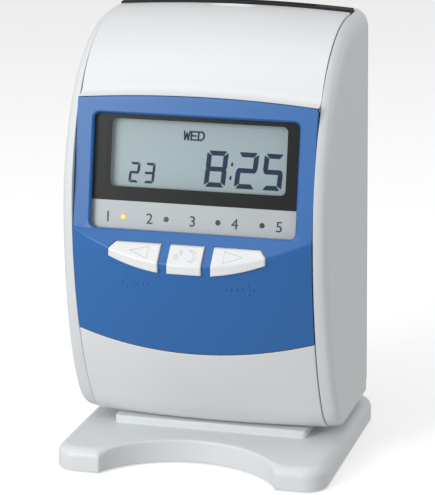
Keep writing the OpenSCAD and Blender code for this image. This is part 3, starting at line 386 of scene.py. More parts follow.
case_rear = 115.4
floor_stops, top_stops = (case_rear, 90.0, 60.0), (100.0, case_rear)
side_line = [(d, floor_z) for d in floor_stops] + profile_line + [(d, top_at(d)) for d in top_stops]
seam_wall, lip_depth, lip_drop = 65.45, 3.7, 0.62
shoulder_middle, shoulder_r = 62.5, 9.0
roll_from, roll_to, roll_steps = 22.0, 90.0, 14
lining_x, lining_depth = 66.1, 9.6
shoulder_section = [(seam_wall, lip_depth), (seam_wall, 1.15), (65.52, 0.82), (65.75, lip_drop)]
for i in range(roll_steps + 1):
    a = math.radians(roll_from + (roll_to - roll_from) * i / roll_steps)
    shoulder_section.append((shoulder_middle + shoulder_r * math.sin(a), shoulder_r * (1 - math.cos(a))))
lining_section = [(69.0, lining_depth), (lining_x, lining_depth), (lining_x, lip_depth)]
toe_level, toe_reach, toe_fullness = 24.0, 95.0, 0.5
lean, lean_level = math.tan(math.radians(0.7)), 230.0
lean_from, lean_width = 65.75, 3.0


def ramp(share):
    return max(0.0, min(1.0, share))


def fullness(z):
    t = ramp((z - toe_level) / toe_reach)
    return toe_fullness + (1 - toe_fullness) * t * t * (3 - 2 * t)


def roll_depth(x, inset, z):
    share = fullness(z) if x > lining_x or inset < lip_depth else 1
    return min(inset, lip_drop) + max(0, inset - lip_drop) * share


def leaning(x, z):
    return x + ramp((x - lean_from) / lean_width) * lean * (lean_level - z)


def side_wall(side):
    lines = []
    for x, inset in shoulder_section + lining_section:
        ring = inward(side_line, [-roll_depth(x, inset, z) for d, z in side_line], closed=False)
        ring[0] = (case_rear, ring[0][1])
        ring[-1] = (case_rear, ring[-1][1])
        lines.append([(side * leaning(x, z), d, z) for d, z in ring])
    count, rows = len(side_line), len(lines)
    face_row = len(shoulder_section) - 1
    points = [p for line in lines for p in line]
    faces = []
    for k in range(rows):
        if k == face_row:
            continue
        for i in range(count - 1):
            after = (k + 1) % rows
            faces.append((k * count + i, k * count + i + 1, after * count + i + 1, after * count + i))
    outside, inside = face_row * count, (face_row + 1) * count
    faces.append(tuple(outside + i for i in range(count)))
    faces.append(tuple(inside + i for i in range(count)))
    faces.append((outside, inside, inside + count - 1, outside + count - 1))
    faces.append(tuple(k * count for k in range(rows)))
    faces.append(tuple(k * count + count - 1 for k in range(rows)))
    return points, faces


def even_out(piece):
    even = piece.modifiers.new("even_normals", "WEIGHTED_NORMAL")
    even.keep_sharp = True


floor_half, floor_front, floor_top = 65.8, 62.8, 20.5
floor_corner, floor_edge = 0.5, 0.2
strip_front, strip_low, strip_high = 109.8, 3.7, 0.45
case_floor = rounded_block(
    -floor_half, floor_half, floor_front, case_rear, floor_z, floor_top, floor_corner, floor_edge
)
strip_ends = []
for x in (-floor_half, floor_half):
    under = [(x, d, top_at(d) - strip_low) for d in (strip_front, case_rear)]
    strip_ends.append(under + [(x, d, top_at(d) - strip_high) for d in (case_rear, strip_front)])
case_form = together(side_wall(1), side_wall(-1), case_floor, loft(strip_ends))
case = build("case_moulding", *case_form, white_abs, "cabinet", sharp=30)
even_out(case)
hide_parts("rear_case")

# Rear cover: the shallow white tray that closes the back, with two wall screw holes, the inlet
# opening and four recessed screws.
rear_abs = finish_of("rear_abs", (0.74, 0.765, 0.78), 0.48, mottle=0.015, grain=1600.0, depth=0.00003)
dress(rear_abs, "rear_cover")

# Card slot bezel: a black moulding let into the top of the case. Its upper face is crowned like the
# cover in front of it, and a card drops through the long slot.
slot_black = finish_of("slot_black", (0.009, 0.009, 0.010), 0.5, mottle=0.2, grain=2400.0)


def tune(finish, quality, value):
    finish.node_tree.nodes["Principled BSDF"].inputs[quality].default_value = value


def shell(front, back, holes=()):
    rows, columns = len(front), len(front[0])
    points = [p for row in front for p in row] + [p for row in back for p in row]
    cells = {(i, j) for i in range(rows - 1) for j in range(columns - 1)} - set(holes)
    under = rows * columns
    faces = []
    for i, j in sorted(cells):
        corners = ((i, j), (i, j + 1), (i + 1, j + 1), (i + 1, j))
        ring = [row * columns + column for row, column in corners]
        faces.append(tuple(ring))
        faces.append(tuple(under + n for n in reversed(ring)))
        for k, (down, along) in enumerate(((-1, 0), (0, 1), (1, 0), (0, -1))):
            if (i + down, j + along) not in cells:
                p, q = ring[k], ring[(k + 1) % 4]
                faces.append((q, p, under + p, under + q))
    return points, faces


tune(slot_black, "Specular IOR Level", 0.25)
bezel_low, bezel_high = (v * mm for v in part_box("card_slot_bezel"))
bezel_front, bezel_back = bezel_low.y - front_edge, bezel_high.y - front_edge
bezel_half, bezel_top = bezel_high.x, bezel_high.z
slot_half, slot_front, slot_back, slot_row = 45.0, 102.0, 107.0, 1
sleeve, flange_h, crown_rise, column_step = 3.0, 6.8, 2.4, 5.0
crown_r = (bezel_half ** 2 + crown_rise ** 2) / (2 * crown_rise)
bezel_x = [-bezel_half] + [column_step * i for i in range(-12, 13)] + [bezel_half]
bezel_d = [bezel_front, slot_front, slot_back, bezel_back]


def bezel_crown(x):
    return bezel_top - crown_r + math.sqrt(crown_r ** 2 - x ** 2)


def bezel_floor(x):
    return bezel_top - flange_h if abs(x) > slot_half + sleeve else bezel_low.z


bezel_face = [[(x, d, bezel_crown(x)) for x in bezel_x] for d in bezel_d]
bezel_under = [[(x, d, bezel_floor(x)) for x in bezel_x] for d in bezel_d]
slot_cells = [(slot_row, j) for j, x in enumerate(bezel_x) if -slot_half <= x < slot_half]
bezel = build("slot_bezel", *shell(bezel_face, bezel_under, slot_cells), slot_black, "cabinet")
soften(bezel, 0.5)
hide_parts("card_slot_bezel")

# Front cover, upper part: a smooth white ABS moulding that rolls back over the top of the clock. A
# lip turns forward at its lower edge to meet the blue panel, and a shallow thumb scoop is sunk
# into the top edge in front of the card slot.
cover_white = finish_of(
    "cover_white", (0.80, 0.82, 0.835), 0.30, mottle=0.01, cloud=20.0, grain=2600.0, depth=0.000008
)
seam_half, cover_half = 65.25, 65.05
sill_z = 134.4
sill_d = setback_at(sill_z) + 0.4
tilt = math.radians(9.9)
window_slope = math.tan(tilt)
panel_top, panel_top_arch = 202.0, 3.0


def across(x):
    return 1 - (x / seam_half) ** 2


def window_face(z):
    return sill_d + (z - sill_z) * window_slope


cover_back = bezel_front - 0.4
lip_at = (window_face(panel_top), panel_top)
lip_hull = ((0.2, 0.3), (4.6, 0.5), (7.6, 1.9), (8.9, 5.6))
lip_steps, lip_h = 10, 8.0
roll = []
for i in range(lip_steps + 1):
    t = i / lip_steps
    w = ((1 - t) ** 3, 3 * t * (1 - t) ** 2, 3 * t * t * (1 - t), t ** 3)
    roll.append(tuple(lip_at[k] + sum(w[n] * lip_hull[n][k] for n in range(4)) for k in (0, 1)))
cover_step, step_end, step_run = 1.8, panel_top + 24, 20.0
cover_rise, rise_from = 0.2, 50.0
flat_d = [89.8 + 0.5 * i for i in range(19)] + [cover_back]
for d, z in profile_line + [(d, top_at(d)) for d in flat_d]:
    if z > panel_top + lip_h:
        set_in = cover_step * ramp((step_end - z) / step_run)
        rise = cover_rise * ramp((d - rise_from) / (cover_back - rise_from))
        roll.append((d + set_in, z + rise))
arch_from = 30.0


def arch_at(d):
    share = ramp((d - arch_from) / (cover_back - arch_from))
    return panel_top_arch + (crown_rise - panel_top_arch) * share


def inner_line(line, thickness):
    inner = []
    for i, (d, z) in enumerate(line):
        before, after = line[max(i - 1, 0)], line[min(i + 1, len(line) - 1)]
        run, climb = after[0] - before[0], after[1] - before[1]
        length = math.hypot(run, climb)
        inner.append((d + thickness * climb / length, z - thickness * run / length))
    return inner


scoop_half, scoop_run, scoop_depth, scoop_power = 13.5, 4.6, 1.7, 0.75


def scoop(x, d):
    reach = 1 - (x / scoop_half) ** 2 - ((cover_back - scoop_run - d) / scoop_run) ** 2
    return scoop_depth * max(0.0, reach) ** scoop_power


cover_columns, cover_wall, cover_soft = 48, 2.5, 0.45
lip_wall, lip_lift = 2.6, 0.05
cover_x = [-cover_half + cover_half * i / cover_columns for i in range(2 * cover_columns + 1)]
inner_roll = inner_line(roll, cover_wall)
inner_roll[0] = (roll[0][0] + lip_wall, roll[0][1] + lip_lift)
inner_roll[-1] = (cover_back, inner_roll[-1][1])
upper_front, upper_back = [], []
for (d, z), (inner_d, inner_z) in zip(roll, inner_roll):
    upper_front.append([(x, d, z + arch_at(d) * across(x) - scoop(x, d)) for x in cover_x])
    upper_back.append([(x, inner_d, inner_z + arch_at(d) * across(x) - scoop(x, d)) for x in cover_x])
upper = build("upper_cover_moulding", *shell(upper_front, upper_back), cover_white, "front_cover", sharp=50)
soften(upper, cover_soft)
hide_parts("upper_cover")

# Front cover, lower part: the same white moulding below the blue panel. It bows forward in the
# middle and tucks under at the floor.
crease_drop = 14.0
crease_z = sill_z - crease_drop
panel_low, panel_low_sag = 76.4, 8.2
seam = 0.4
chin_bow, belly_bow = 5.4, 14.2


def bow_at(z):
    return chin_bow + (belly_bow - chin_bow) * (z - floor_z) / (crease_z - floor_z)


def belly(x, z):
    return setback_at(z) - bow_at(z) * across(x)


def lower_edge_of_panel(x):
    return panel_low - panel_low_sag * across(x)


cover_low, skin, skin_lift = floor_z + 0.5, 3.5, 0.875
lower_columns, lower_rows = 30, 32
lower_x = [-cover_half + cover_half * i / lower_columns for i in range(2 * lower_columns + 1)]
lower_front, lower_back = [], []
for i in range(lower_rows + 1):
    front_row, back_row = [], []
    for x in lower_x:
        z = cover_low + (lower_edge_of_panel(x) - seam - cover_low) * i / lower_rows
        front_row.append((x, belly(x, z), z))
        back_row.append((x, belly(x, z) + skin, z + skin_lift * (1 - i / lower_rows)))
    lower_front.append(front_row)
    lower_back.append(back_row)
lower = build("lower_cover_moulding", *shell(lower_front, lower_back), cover_white, "front_cover", sharp=50)
soften(lower, cover_soft)
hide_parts("lower_cover")

# Blue panel: a separate ABS moulding sprayed in a satin metallic blue and clipped into the cover.
# A flat face round the window, a sloping shelf that carries the keys, and a bowed belly below it.
panel_paint = finish_of(
    "panel_paint", (0.031, 0.154, 0.442), 0.31, mottle=0.03, cloud=14.0, grain=5200.0, depth=0.000006
)
tune(panel_paint, "Specular IOR Level", 0.4)
window_half, window_h = 55.7, 61.0
window_top = sill_z + window_h * math.cos(tilt)
rim_r, rim_mid = 0.5, 0.13
fold, fold_share, least_run = 1.0, 0.4, 0.05
belly_rows, fold_rows, shelf_rows, window_rows, brow_rows = 24, 5, 8, 12, 4


def crease_at(x):
    return sill_z - crease_drop * across(x)


def between(a, b, share):
    return tuple(p + (q - p) * share for p, q in zip(a, b))


def panel_path(x):
    low, crease = lower_edge_of_panel(x), crease_at(x)
    path = [(belly(x, low) + rim_r, low), (belly(x, low) + rim_mid, low + rim_mid)]
    path.append((belly(x, low + rim_r), low + rim_r))
    for i in range(1, belly_rows + 1):
        z = low + rim_r + (crease - fold - low - rim_r) * i / belly_rows
        path.append((belly(x, z), z))
    corner, sill = (belly(x, crease), crease), (sill_d, sill_z)
    run = math.hypot(sill[0] - corner[0], sill[1] - corner[1])
    share = min(fold_share, fold / run) if run > least_run else fold_share
    leave = between(corner, sill, share)
    start = path[-1]
    for i in range(1, fold_rows + 1):
        t = i / fold_rows
        w = ((1 - t) ** 2, 2 * t * (1 - t), t * t)
        path.append(tuple(w[0] * start[k] + w[1] * corner[k] + w[2] * leave[k] for k in (0, 1)))
    path += [between(leave, sill, i / shelf_rows) for i in range(1, shelf_rows + 1)]
    for i in range(1, window_rows + 1):
        z = sill_z + (window_top - sill_z) * i / window_rows
        path.append((window_face(z), z))
    top = panel_top + panel_top_arch * across(x)
    for i in range(1, brow_rows + 1):
        z = window_top + (top - rim_r - window_top) * i / brow_rows
        path.append((window_face(z), z))
    path += [(window_face(top) + rim_mid, top - rim_mid), (window_face(top) + rim_r, top)]
    return path


panel_wall, end_break, panel_columns, panel_sharp = 2.5, 0.3, 26, 40
half_x = [window_half * i / panel_columns for i in range(panel_columns)]
half_x += [window_half, 57.8, 60, 62.5, cover_half - 0.5, cover_half - 0.15, cover_half]
panel_x = sorted({round(side * x, 4) for side in (-1, 1) for x in half_x})
paths = [panel_path(x) for x in panel_x]
rows = len(paths[0])
panel_front, panel_back = [], []
for i in range(rows):
    front_row, back_row = [], []
    for x, path in zip(panel_x, paths):
        d, z = path[i]
        inside_rim = path[min(max(i, 2), rows - 3)][0]
        front_row.append((x, d + (end_break if abs(x) > cover_half - 0.1 else 0.0), z))
        back_row.append((x, max(d, inside_rim) + panel_wall, z))
    panel_front.append(front_row)
    panel_back.append(back_row)
panel_form = shell(panel_front, panel_back)
panel = build("blue_panel_moulding", *panel_form, panel_paint, "front_cover", sharp=panel_sharp)


def on_window(x, h, depth):
    d = sill_d + h * math.sin(tilt) + depth * math.cos(tilt)
    return (x, d, sill_z + h * math.cos(tilt) - depth * math.sin(tilt))


def rounded_outline(half, low, high, corner):
    bend_points, spacing = 8, 3.0
    line = [place for bend in corner_arcs(-half, half, low, high, corner, bend_points) for place in bend]
    filled = []
    for here, after in zip(line, line[1:] + line[:1]):
        steps = max(1, round(math.dist(here, after) / spacing))
        filled += [tuple(a + (b - a) * i / steps for a, b in zip(here, after)) for i in range(steps)]
    return filled


window_low, window_corner, sill_share = 0.35, 3.0, 0.3
window_flare = ((4.2, -3.0), (1.0, 0.2), (0.58, 0.5), (0.22, 1.0), (0.0, 1.8), (0.0, 9.0))
window_cut = []
for grow, depth in window_flare:
    low, high = window_low - grow * sill_share, window_h + grow
    rim = rounded_outline(window_half + grow, low, high, window_corner + grow)
    window_cut.append([on_window(x, h, depth) for x, h in rim])
cuts = [("window_opening", loft(window_cut))]
key_top, key_low, key_crease = sill_z - 5.0, sill_z - 18.4, sill_z - 13.5
mid_half, key_sag, key_gap, key_steps = 9.2, 0.9, 0.35, 16
side_in, side_tip = (v.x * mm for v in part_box("right_key"))
side_shelf = side_tip - 3.3
tip_top, tip_low = key_top - 3.0, key_top - 7.1
hole_ends = (-14.0, 16.0)


def key_low_at(x):
    t = (x - side_in) / (side_tip - side_in)
    return key_low + (tip_low - key_low) * t - 4 * key_sag * t * (1 - t)


def key_outline(side):
    if side == 0:
        return [(-mid_half, key_low), (mid_half, key_low), (mid_half, key_top), (-mid_half, key_top)]
    low_x = [side_in + (side_tip - side_in) * i / key_steps for i in range(key_steps + 1)]
    line = [(x, key_low_at(x)) for x in low_x]
    line += [(side_tip, tip_top), (side_shelf, key_top), (side_in, key_top)]
    return line if side > 0 else [(-x, z) for x, z in reversed(line)]


def mesh_of(piece):
    bpy.context.view_layer.update()
    return bpy.data.meshes.new_from_object(piece.evaluated_get(bpy.context.evaluated_depsgraph_get()))


for side in (-1, 0, 1):
    line = key_outline(side)
    hole = inward(line, [-key_gap] * len(line))
    cuts.append(("key_hole", loft([[(x, d, z) for x, z in hole] for d in hole_ends])))
for name, form in cuts:
    cutter = build(name, *form, panel_paint, "front_cover")
    cut = panel.modifiers.new(name, "BOOLEAN")
    cut.operation = "DIFFERENCE"
    cut.solver = "EXACT"
    cut.object = cutter
    result = mesh_of(panel)
    panel.modifiers.clear()
    panel.data = result
    bpy.data.objects.remove(cutter)
panel.data.set_sharp_from_angle(angle=math.radians(panel_sharp))
even_out(panel)
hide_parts("blue_panel")

# Raised dots under the side keys: two small arrows of low round pips, moulded with the panel and
# sprayed with it, to be found by touch.
pip_r, pip_out, pip_sunk, pip_z = 0.82, 0.66, 0.1, 108.6
pip_turns = range(20, 85, 16)
pip_places = [(x, pip_z) for x in (21.3, 24.0, 26.9, 29.7, 35.5)] + [(33.1, 111.4), (33.1, 105.8)]
pips = []
for side in (-1, 1):
    for x, z in pip_places:
        rings = []
        for turn in pip_turns:
            a = math.radians(turn)
            d = belly(side * x, z) - pip_out * math.sin(a) + pip_sunk
            ring = arc(side * x, z, pip_r * math.cos(a), range(0, 360, 30))
            rings.append([(ring_x, d, ring_z) for ring_x, ring_z in ring])
        pips.append(loft(rings))
dots = build("arrow_pips", *together(*pips), panel_paint, "front_cover", sharp=60)

# Keys: three white mouldings that stand out of the shelf, with a fold where the shelf turns into
# the belly. Springs on the switches behind push them back out. Each carries a shallow mark.
key_white = finish_of("key_white", (0.82, 0.835, 0.845), 0.34, mottle=0.01, grain=2600.0, depth=0.000008)
fold_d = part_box("middle_key")[0].y * mm - front_edge + 0.02
tip_bow = bow_at(key_crease) * (side_tip / seam_half) ** 2 - 0.6
front_r = (side_tip ** 2 + tip_bow ** 2) / (2 * tip_bow)
shelf_rise = (sill_d - fold_d - 1.3) / crease_drop
key_back = sill_d + 2.0
key_blend, key_edge, key_round = 0.9, 0.55, 0.45
key_columns, key_rows = 20, 24
stem_z = sum(v.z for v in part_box("tact_switches")) * mm / 2
stem_half, stem_shift, stem_sunk, stem_corner, stem_edge = 2.0, 3.0, 1.0, 0.4, 0.2


def key_face(x, z):
    bowed = fold_d + front_r - math.sqrt(front_r ** 2 - x * x)
    sloped = fold_d + (z - key_crease) * shelf_rise
    blend = max(key_blend - abs(bowed - sloped), 0.0) / key_blend
    return max(bowed, sloped) + blend * blend * key_blend * 0.25


def key_span(side, x):
    if side == 0:
        return key_low, key_top
    x = abs(x)
    fall = max(0.0, x - side_shelf) * (key_top - tip_top) / (side_tip - side_shelf)
    return key_low_at(x), key_top - fall


def edge_spread(count):
    near = [0.0, 0.006, 0.02, 0.045]
    middle = [near[-1] + (1 - 2 * near[-1]) * i / count for i in range(1, count)]
    return near + middle + [1 - v for v in reversed(near)]


def key_cap(side):
    x0, x1 = {-1: (-side_tip, -side_in), 0: (-mid_half, mid_half), 1: (side_in, side_tip)}[side]
    across_key = [x0 + (x1 - x0) * u for u in edge_spread(key_columns)]
    if side:
        across_key = sorted(set(across_key + [side * side_shelf]))
    front, back = [], []
    for v in edge_spread(key_rows):
        front_row, back_row = [], []
        for x in across_key:
            low, high = key_span(side, x)
            z = low + (high - low) * v
            margin = min(x - x0, x1 - x, z - low, high - z)
            edge = max(0.0, key_edge - margin) / key_edge
            front_row.append((x, key_face(x, z) + key_round * (1 - math.sqrt(1 - edge * edge)), z))
            back_row.append((x, key_back, z))
        front.append(front_row)
        back.append(back_row)
    return shell(front, back)


key_names = (
    (-1, "left_key_cap_moulding", "left_key_cap", "left_key"),
    (0, "middle_key_cap_moulding", "middle_key_cap", "middle_key"),
    (1, "right_key_cap_moulding", "right_key_cap", "right_key"),
)
for side, name, body, node in key_names:
    stem_x = side * ((side_in + side_tip) / 2 - stem_shift)
    stem_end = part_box(node)[1].y * mm - front_edge
    stem = rounded_block(
        stem_x - stem_half, stem_x + stem_half, key_back - stem_sunk, stem_end,
        stem_z - stem_half, stem_z + stem_half, stem_corner, stem_edge
    )
    cap = build(name, *together(key_cap(side), stem), key_white, body, sharp=55)
    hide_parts(node)

# Marks on the keys: an outlined triangle on each side key and a crescent with two stars on the
# middle one, moulded as low white ribs; their pale grey is painted shade so that they show.
painted_shade_grey = finish_of("painted_shade_grey", (0.60, 0.615, 0.63), 0.4)
rib_levels = (0.3, -0.07)
triangle_rib, moon_rib, star_rib = 0.28, 0.25, 0.22
moon_z, star_notch = 125.2, 0.42


def rib(points, width):
    parts = []
    for (x0, z0), (x1, z1) in zip(points, points[1:] + points[:1]):
        length = math.hypot(x1 - x0, z1 - z0)
        nx, nz = -(z1 - z0) / length * width / 2, (x1 - x0) / length * width / 2
        ring = [(x0 - nx, z0 - nz), (x1 - nx, z1 - nz), (x1 + nx, z1 + nz), (x0 + nx, z0 + nz)]
        parts.append(loft([[(x, key_face(x, z) + level, z) for x, z in ring] for level in rib_levels]))
    return together(*parts)


for side, name, body in ((-1, "left_mark", "left_key_cap"), (1, "right_mark", "right_key_cap")):
    triangle = [(side * 20.6, 128.3), (side * 20.6, 123.1), (side * 30.6, 126.2)]
    build(name, *rib(triangle, triangle_rib), painted_shade_grey, body)
moon = arc(3.3, moon_z, 2.6, range(-125, 126, 25)) + arc(2.2, moon_z, 2.2, range(100, -101, -25))
star_parts = [rib(moon, moon_rib)]
for x, z, size in ((-2.6, 126.6, 1.1), (-5.0, 124.6, 1.4)):
    star = []
    for k in range(10):
        reach = size * (1 if k % 2 == 0 else star_notch)
        a = math.radians(36 * k)
        star.append((x + reach * math.sin(a), z + reach * math.cos(a)))
    star_parts.append(rib(star, star_rib))
build("middle_mark", *together(*star_parts), painted_shade_grey, "middle_key_cap")

# Display: a reflective liquid crystal cell set back in its black box. The grey-green glass carries
# the time, the day of the month and a day of the week in dark segments.
lcd_glass = finish_of("lcd_grey_green", (0.362, 0.456, 0.484), 0.32, mottle=0.03, cloud=18.0)
dress(lcd_glass, "lcd_glass")
segment_ink = finish_of("segment_ink", (0.012, 0.032, 0.075), 0.5)
tune(segment_ink, "Specular IOR Level", 0.1)
lcd_depth, ink_gap, ink_lift, slant = 10.5, 0.02, 0.1, 0.08
digit_bars = {2: "abged", 3: "abgcd", 5: "afgcd", 8: "abcdefg"}


def flat_shape(outline, near, far):
    return loft([[on_window(x, h, depth) for x, h in outline] for depth in (near, far)])


def inked(outline):
    return flat_shape(outline, lcd_depth - ink_gap, lcd_depth - ink_lift)


def bar_ring(name, width, height, bar, gap):
    half, b, cut, nip = height / 2, bar / 2, bar * 0.42, 0.12
    if name == "g":
        low = [(gap + b, half - b), (width - gap - b, half - b), (width - gap, half)]
        return low + [(width - gap - b, half + b), (gap + b, half + b), (gap, half)]
    if name in "ad":
        out, back = (0, bar) if name == "d" else (height, height - bar)
        turn = out + (back - out) * nip
        outside = [(cut + gap, out), (width - cut - gap, out), (width - cut, turn)]
        return outside + [(width - bar - gap, back), (bar + gap, back), (cut, turn)]
    ring = [(0, cut + gap), (bar * nip, cut + gap - 0.1), (bar, bar + gap)]
    ring += [(bar, half - b - gap), (b, half - gap), (0, half - gap - b * 0.5)]
    if name in "bc":
        ring = [(width - u, v) for u, v in ring]
    if name in "bf":
        ring = [(u, height - v) for u, v in ring]
    return ring


def digit(number, x, h, width, height, bar, gap=0.16):
    rings = [bar_ring(name, width, height, bar, gap) for name in digit_bars[number]]
    return [inked([(x + u + v * slant, h + v) for u, v in ring]) for ring in rings]


big, small = (19.2, 2.5), (10.9, 1.3, 0.12)
time_low, date_low = 24.7, 24.6
shown = digit(8, 2.9, time_low, 11.5, *big) + digit(2, 19.4, time_low, 11.5, *big)
shown += digit(5, 34.0, time_low, 10.8, *big)
shown += digit(2, -38.6, date_low, 5.6, *small) + digit(3, -30.3, date_low, 5.7, *small)
for x, h in ((17.3, 29.0), (17.9, 36.2)):
    shown.append(inked([(x - 0.5, h), (x + 0.5, h), (x + 0.65, h + 2.0), (x - 0.35, h + 2.0)]))
day_low, day_w, day_h, stroke = 48.9, 3.0, 4.3, 0.4
day_strokes = (
    (-9.0, ((0, 1), (0.2, 0), (0.5, 0.75), (0.8, 0), (1, 1))),
    (-5.05, ((1, 1), (0, 1), (0, 0), (1, 0))),
    (-5.05, ((0, 0.5), (0.85, 0.5))),
    (-1.1, ((0, 0), (0, 1), (0.6, 1), (1, 0.7), (1, 0.3), (0.6, 0), (0, 0))),
)
for start, line in day_strokes:
    places = [(start + day_w * u, day_low + day_h * v) for u, v in line]
    for (x0, h0), (x1, h1) in zip(places, places[1:]):
        length = math.hypot(x1 - x0, h1 - h0)
        ax, ah = (x1 - x0) / length * stroke, (h1 - h0) / length * stroke
        ring = [(x0 - ax + ah, h0 - ah - ax), (x1 + ax + ah, h1 + ah - ax)]
        ring += [(x1 + ax - ah, h1 + ah + ax), (x0 - ax - ah, h0 - ah + ax)]
        shown.append(inked([(x + slant * (h - day_low), h) for x, h in ring]))
build("display_segments", *together(*shown), segment_ink, "front_cover")
corner_x, corner_low, corner_high, corner_r = 48.55, 21.95, 59.05, 3.2
corner_front = 5.05
fillers = []
for side in (-1, 1):
    for edge, up in ((corner_low, 1), (corner_high, -1)):
        filler = [(side * corner_x, edge)]
        for i in range(11):
            a = math.radians(9 * i)
            x = corner_x - corner_r + corner_r * math.sin(a)
            filler.append((side * x, edge + up * (corner_r - corner_r * math.cos(a))))
        fillers.append(flat_shape(filler, corner_front, lcd_depth - ink_gap))
build("display_corners", *together(*fillers), black_box, "front_cover")

# Window mask and label strip: printed films behind the lens, black round the display and silver
# below it. Plain numbers are printed along the strip.
mask_film = finish_of("mask_film", (0.003, 0.003, 0.0035), 0.45, mottle=0.15)
tune(mask_film, "Specular IOR Level", 0.12)
film_near, film_far = 4.52, 4.98
open_x, open_low, open_high, open_r = 48.8, 22.6, 58.5, 3.0
film_half, film_low, film_high = 57.2, 15.1, 62.5
open_steps = 10
arc_points = open_steps + 1
ring_count = 4 * arc_points
span = 4 + ring_count
opening = corner_arcs(-open_x, open_x, open_low, open_high, open_r, open_steps)
corners = [(film_half, film_low), (film_half, film_high), (-film_half, film_high), (-film_half, film_low)]
mask_outline = corners + [place for bend in opening for place in bend]
mask_points = [on_window(x, h, depth) for depth in (film_near, film_far) for x, h in mask_outline]
mask_faces = []
for base in (0, span):
    for k in range(4):
        first, n = base + 4 + k * arc_points, (k + 1) % 4
        mask_faces += [(base + k, first + i, first + i + 1) for i in range(open_steps)]
        mask_faces.append((base + k, first + open_steps, base + 4 + n * arc_points, base + n))
for i in range(ring_count):
    j = (i + 1) % ring_count
    mask_faces.append((4 + i, 4 + j, span + 4 + j, span + 4 + i))
for k in range(4):
    n = (k + 1) % 4
    mask_faces.append((k, n, span + n, span + k))
mask = build("display_mask", mask_points, mask_faces, mask_film, "front_cover")
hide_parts("lens_mask")
silver_film = finish_of("silver_film", (0.53, 0.545, 0.56), 0.3, mottle=0.05, cloud=60.0, grain=3000.0)
dress(silver_film, "label_strip")
strip_ink = finish_of("strip_ink", (0.02, 0.02, 0.022), 0.4)
number_size, number_low, number_depth, number_thick = 8.0, 3.6, 4.44, 0.03


def strip_number(name, number, x):
    line = bpy.data.curves.new(name, "FONT")
    line.body = str(number)
    line.size = number_size
    line.align_x = "CENTER"
    line.resolution_u = 3
    line.extrude = number_thick
    raw = bpy.data.objects.new(name + "_outline", line)
    bpy.context.scene.collection.objects.link(raw)
    flat = mesh_of(raw)
    points = [on_window(x + v.co.x, number_low + v.co.y, number_depth - v.co.z) for v in flat.vertices]
    faces = [tuple(p.vertices) for p in flat.polygons]
    bpy.data.objects.remove(raw)
    return points, faces


for number, x in ((1, -47.2), (2, -24.2), (3, -0.6), (4, 22.4), (5, 46.3)):
    name = "strip_number_%d" % number
    mark = build(name, *strip_number(name, number, x), strip_ink, "front_cover", sharp=20)

# Lamps: small light pipes moulded in acrylic, that come through the strip and end flush with its
# face. The first is lit amber, the others are dark.
lamp_glow = finish_of("lamp_glow", (0.95, 0.62, 0.05), 0.25)
tune(lamp_glow, "Emission Color", (1.0, 0.62, 0.06, 1))
tune(lamp_glow, "Emission Strength", 0.45)
dress(lamp_glow, "lamp_lit")
lamp_smoke = finish_of("lamp_smoke", (0.05, 0.055, 0.065), 0.2)
dress(lamp_smoke, "lamps_dark")

# Window lens: clear acrylic, held behind the panel's window. It only shows as a faint, soft sheen
# over the films and the display.
lens_clear = bpy.data.materials.new("lens_clear")
lens_clear.use_nodes = True
lens_tree = lens_clear.node_tree
lens_tree.nodes.remove(lens_tree.nodes["Principled BSDF"])
see_through = lens_tree.nodes.new("ShaderNodeBsdfTransparent")
see_through.inputs["Color"].default_value = (0.97, 0.98, 0.98, 1)
sheen = lens_tree.nodes.new("ShaderNodeBsdfGlossy")
lens_place = lens_tree.nodes.new("ShaderNodeTexCoord")
smear = lens_tree.nodes.new("ShaderNodeTexNoise")
smear.inputs["Scale"].default_value = 30.0
lens_tree.links.new(lens_place.outputs["Object"], smear.inputs["Vector"])
smear_range = lens_tree.nodes.new("ShaderNodeMapRange")
smear_range.inputs["To Min"].default_value = 0.25
smear_range.inputs["To Max"].default_value = 0.3
lens_tree.links.new(smear.outputs["Fac"], smear_range.inputs["Value"])
lens_tree.links.new(smear_range.outputs["Result"], sheen.inputs["Roughness"])
skim = lens_tree.nodes.new("ShaderNodeMapRange")
skim.inputs["To Min"].default_value = 0.0065
skim.inputs["To Max"].default_value = 0.008
lens_tree.links.new(smear.outputs["Fac"], skim.inputs["Value"])
lens_mix = lens_tree.nodes.new("ShaderNodeMixShader")
lens_tree.links.new(skim.outputs["Result"], lens_mix.inputs[0])
lens_tree.links.new(see_through.outputs[0], lens_mix.inputs[1])
lens_tree.links.new(sheen.outputs[0], lens_mix.inputs[2])
lens_tree.links.new(lens_mix.outputs[0], lens_tree.nodes["Material Output"].inputs["Surface"])
lens_corner = 1.5
lens_loops = []
for depth, inset in ((2.52, 0.25), (2.6, 0.08), (2.77, 0.0), (4.15, 0.0), (4.32, 0.08), (4.4, 0.25)):
    edge = rounded_outline(film_half - inset, inset - lens_corner, film_high - inset, lens_corner - inset)
    lens_loops.append([on_window(x, h, depth) for x, h in edge])
lens = build("window_lens_pane", *loft(lens_loops), lens_clear, "front_cover", sharp=15)
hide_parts("window_lens")

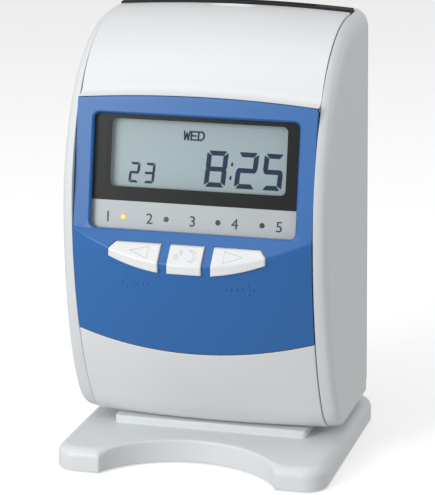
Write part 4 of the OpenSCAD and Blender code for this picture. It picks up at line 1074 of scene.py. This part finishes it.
# Studio: a pale floor that runs out of sight and a white surround. A large soft light stands at the
# front left, weaker ones on the right, behind, above and over the key shelf, and the camera is
# where the photograph was taken from.
floor_mesh = bpy.data.meshes.new("studio_floor")
floor_mesh.from_pydata([(-6, -6, 0), (6, -6, 0), (6, 6, 0), (-6, 6, 0)], [], [(0, 1, 2, 3)])
floor = bpy.data.objects.new("studio_floor", floor_mesh)
bpy.context.scene.collection.objects.link(floor)
floor_paper = finish_of("floor_paper", (0.93, 0.93, 0.93), 0.9, mottle=0.005)
tune(floor_paper, "Emission Color", (1, 1, 1, 1))
tune(floor_paper, "Emission Strength", 0.34)
floor_mesh.materials.append(floor_paper)
floor.visible_diffuse = False
floor.visible_glossy = False
surround = bpy.data.worlds.new("studio_surround")
surround.use_nodes = True
surround.node_tree.nodes["Background"].inputs["Color"].default_value = (1.0, 1.0, 1.0, 1)
surround.node_tree.nodes["Background"].inputs["Strength"].default_value = 0.46
bpy.context.scene.world = surround
bpy.context.scene.view_settings.view_transform = "Standard"
aim = (0, 0, 0.12)


def soft_light(name, place, size, watts):
    lamp = bpy.data.lights.new(name, "AREA")
    lamp.shape = "SQUARE"
    lamp.size = size
    lamp.energy = watts
    holder = bpy.data.objects.new(name, lamp)
    bpy.context.scene.collection.objects.link(holder)
    way = [t - p for t, p in zip(aim, place)]
    nod = math.atan2(math.hypot(way[0], way[1]), -way[2])
    holder.location = place
    holder.rotation_euler = (nod, 0, math.atan2(way[1], way[0]) - math.pi / 2)


soft_light("front_left_box", (-0.84, -1.4, 0.6), 0.8, 15.3)
soft_light("right_box", (1.3, -0.9, 0.7), 0.8, 0.9)
soft_light("rim_box", (1.25, 0.8, 0.5), 0.7, 1.7)
soft_light("top_box", (0.15, 0.1, 1.6), 1.0, 3.0)
soft_light("shelf_box", (-0.35, -0.58, 1.45), 0.8, 2.4)
eye = bpy.data.cameras.new("studio_camera")
eye.sensor_fit = "VERTICAL"
eye.sensor_height = 36
eye.lens = 167.97
eye.clip_end = 50
camera_back, camera_down, camera_turn = 1118.0, 14.606, 15.157
camera = bpy.data.objects.new("studio_camera", eye)
bpy.context.scene.collection.objects.link(camera)
camera.location = (0.32033, (front_edge - camera_back) / mm, 0.43287)
camera.rotation_euler = (math.radians(90 - camera_down), 0, math.radians(camera_turn))
bpy.context.scene.camera = camera
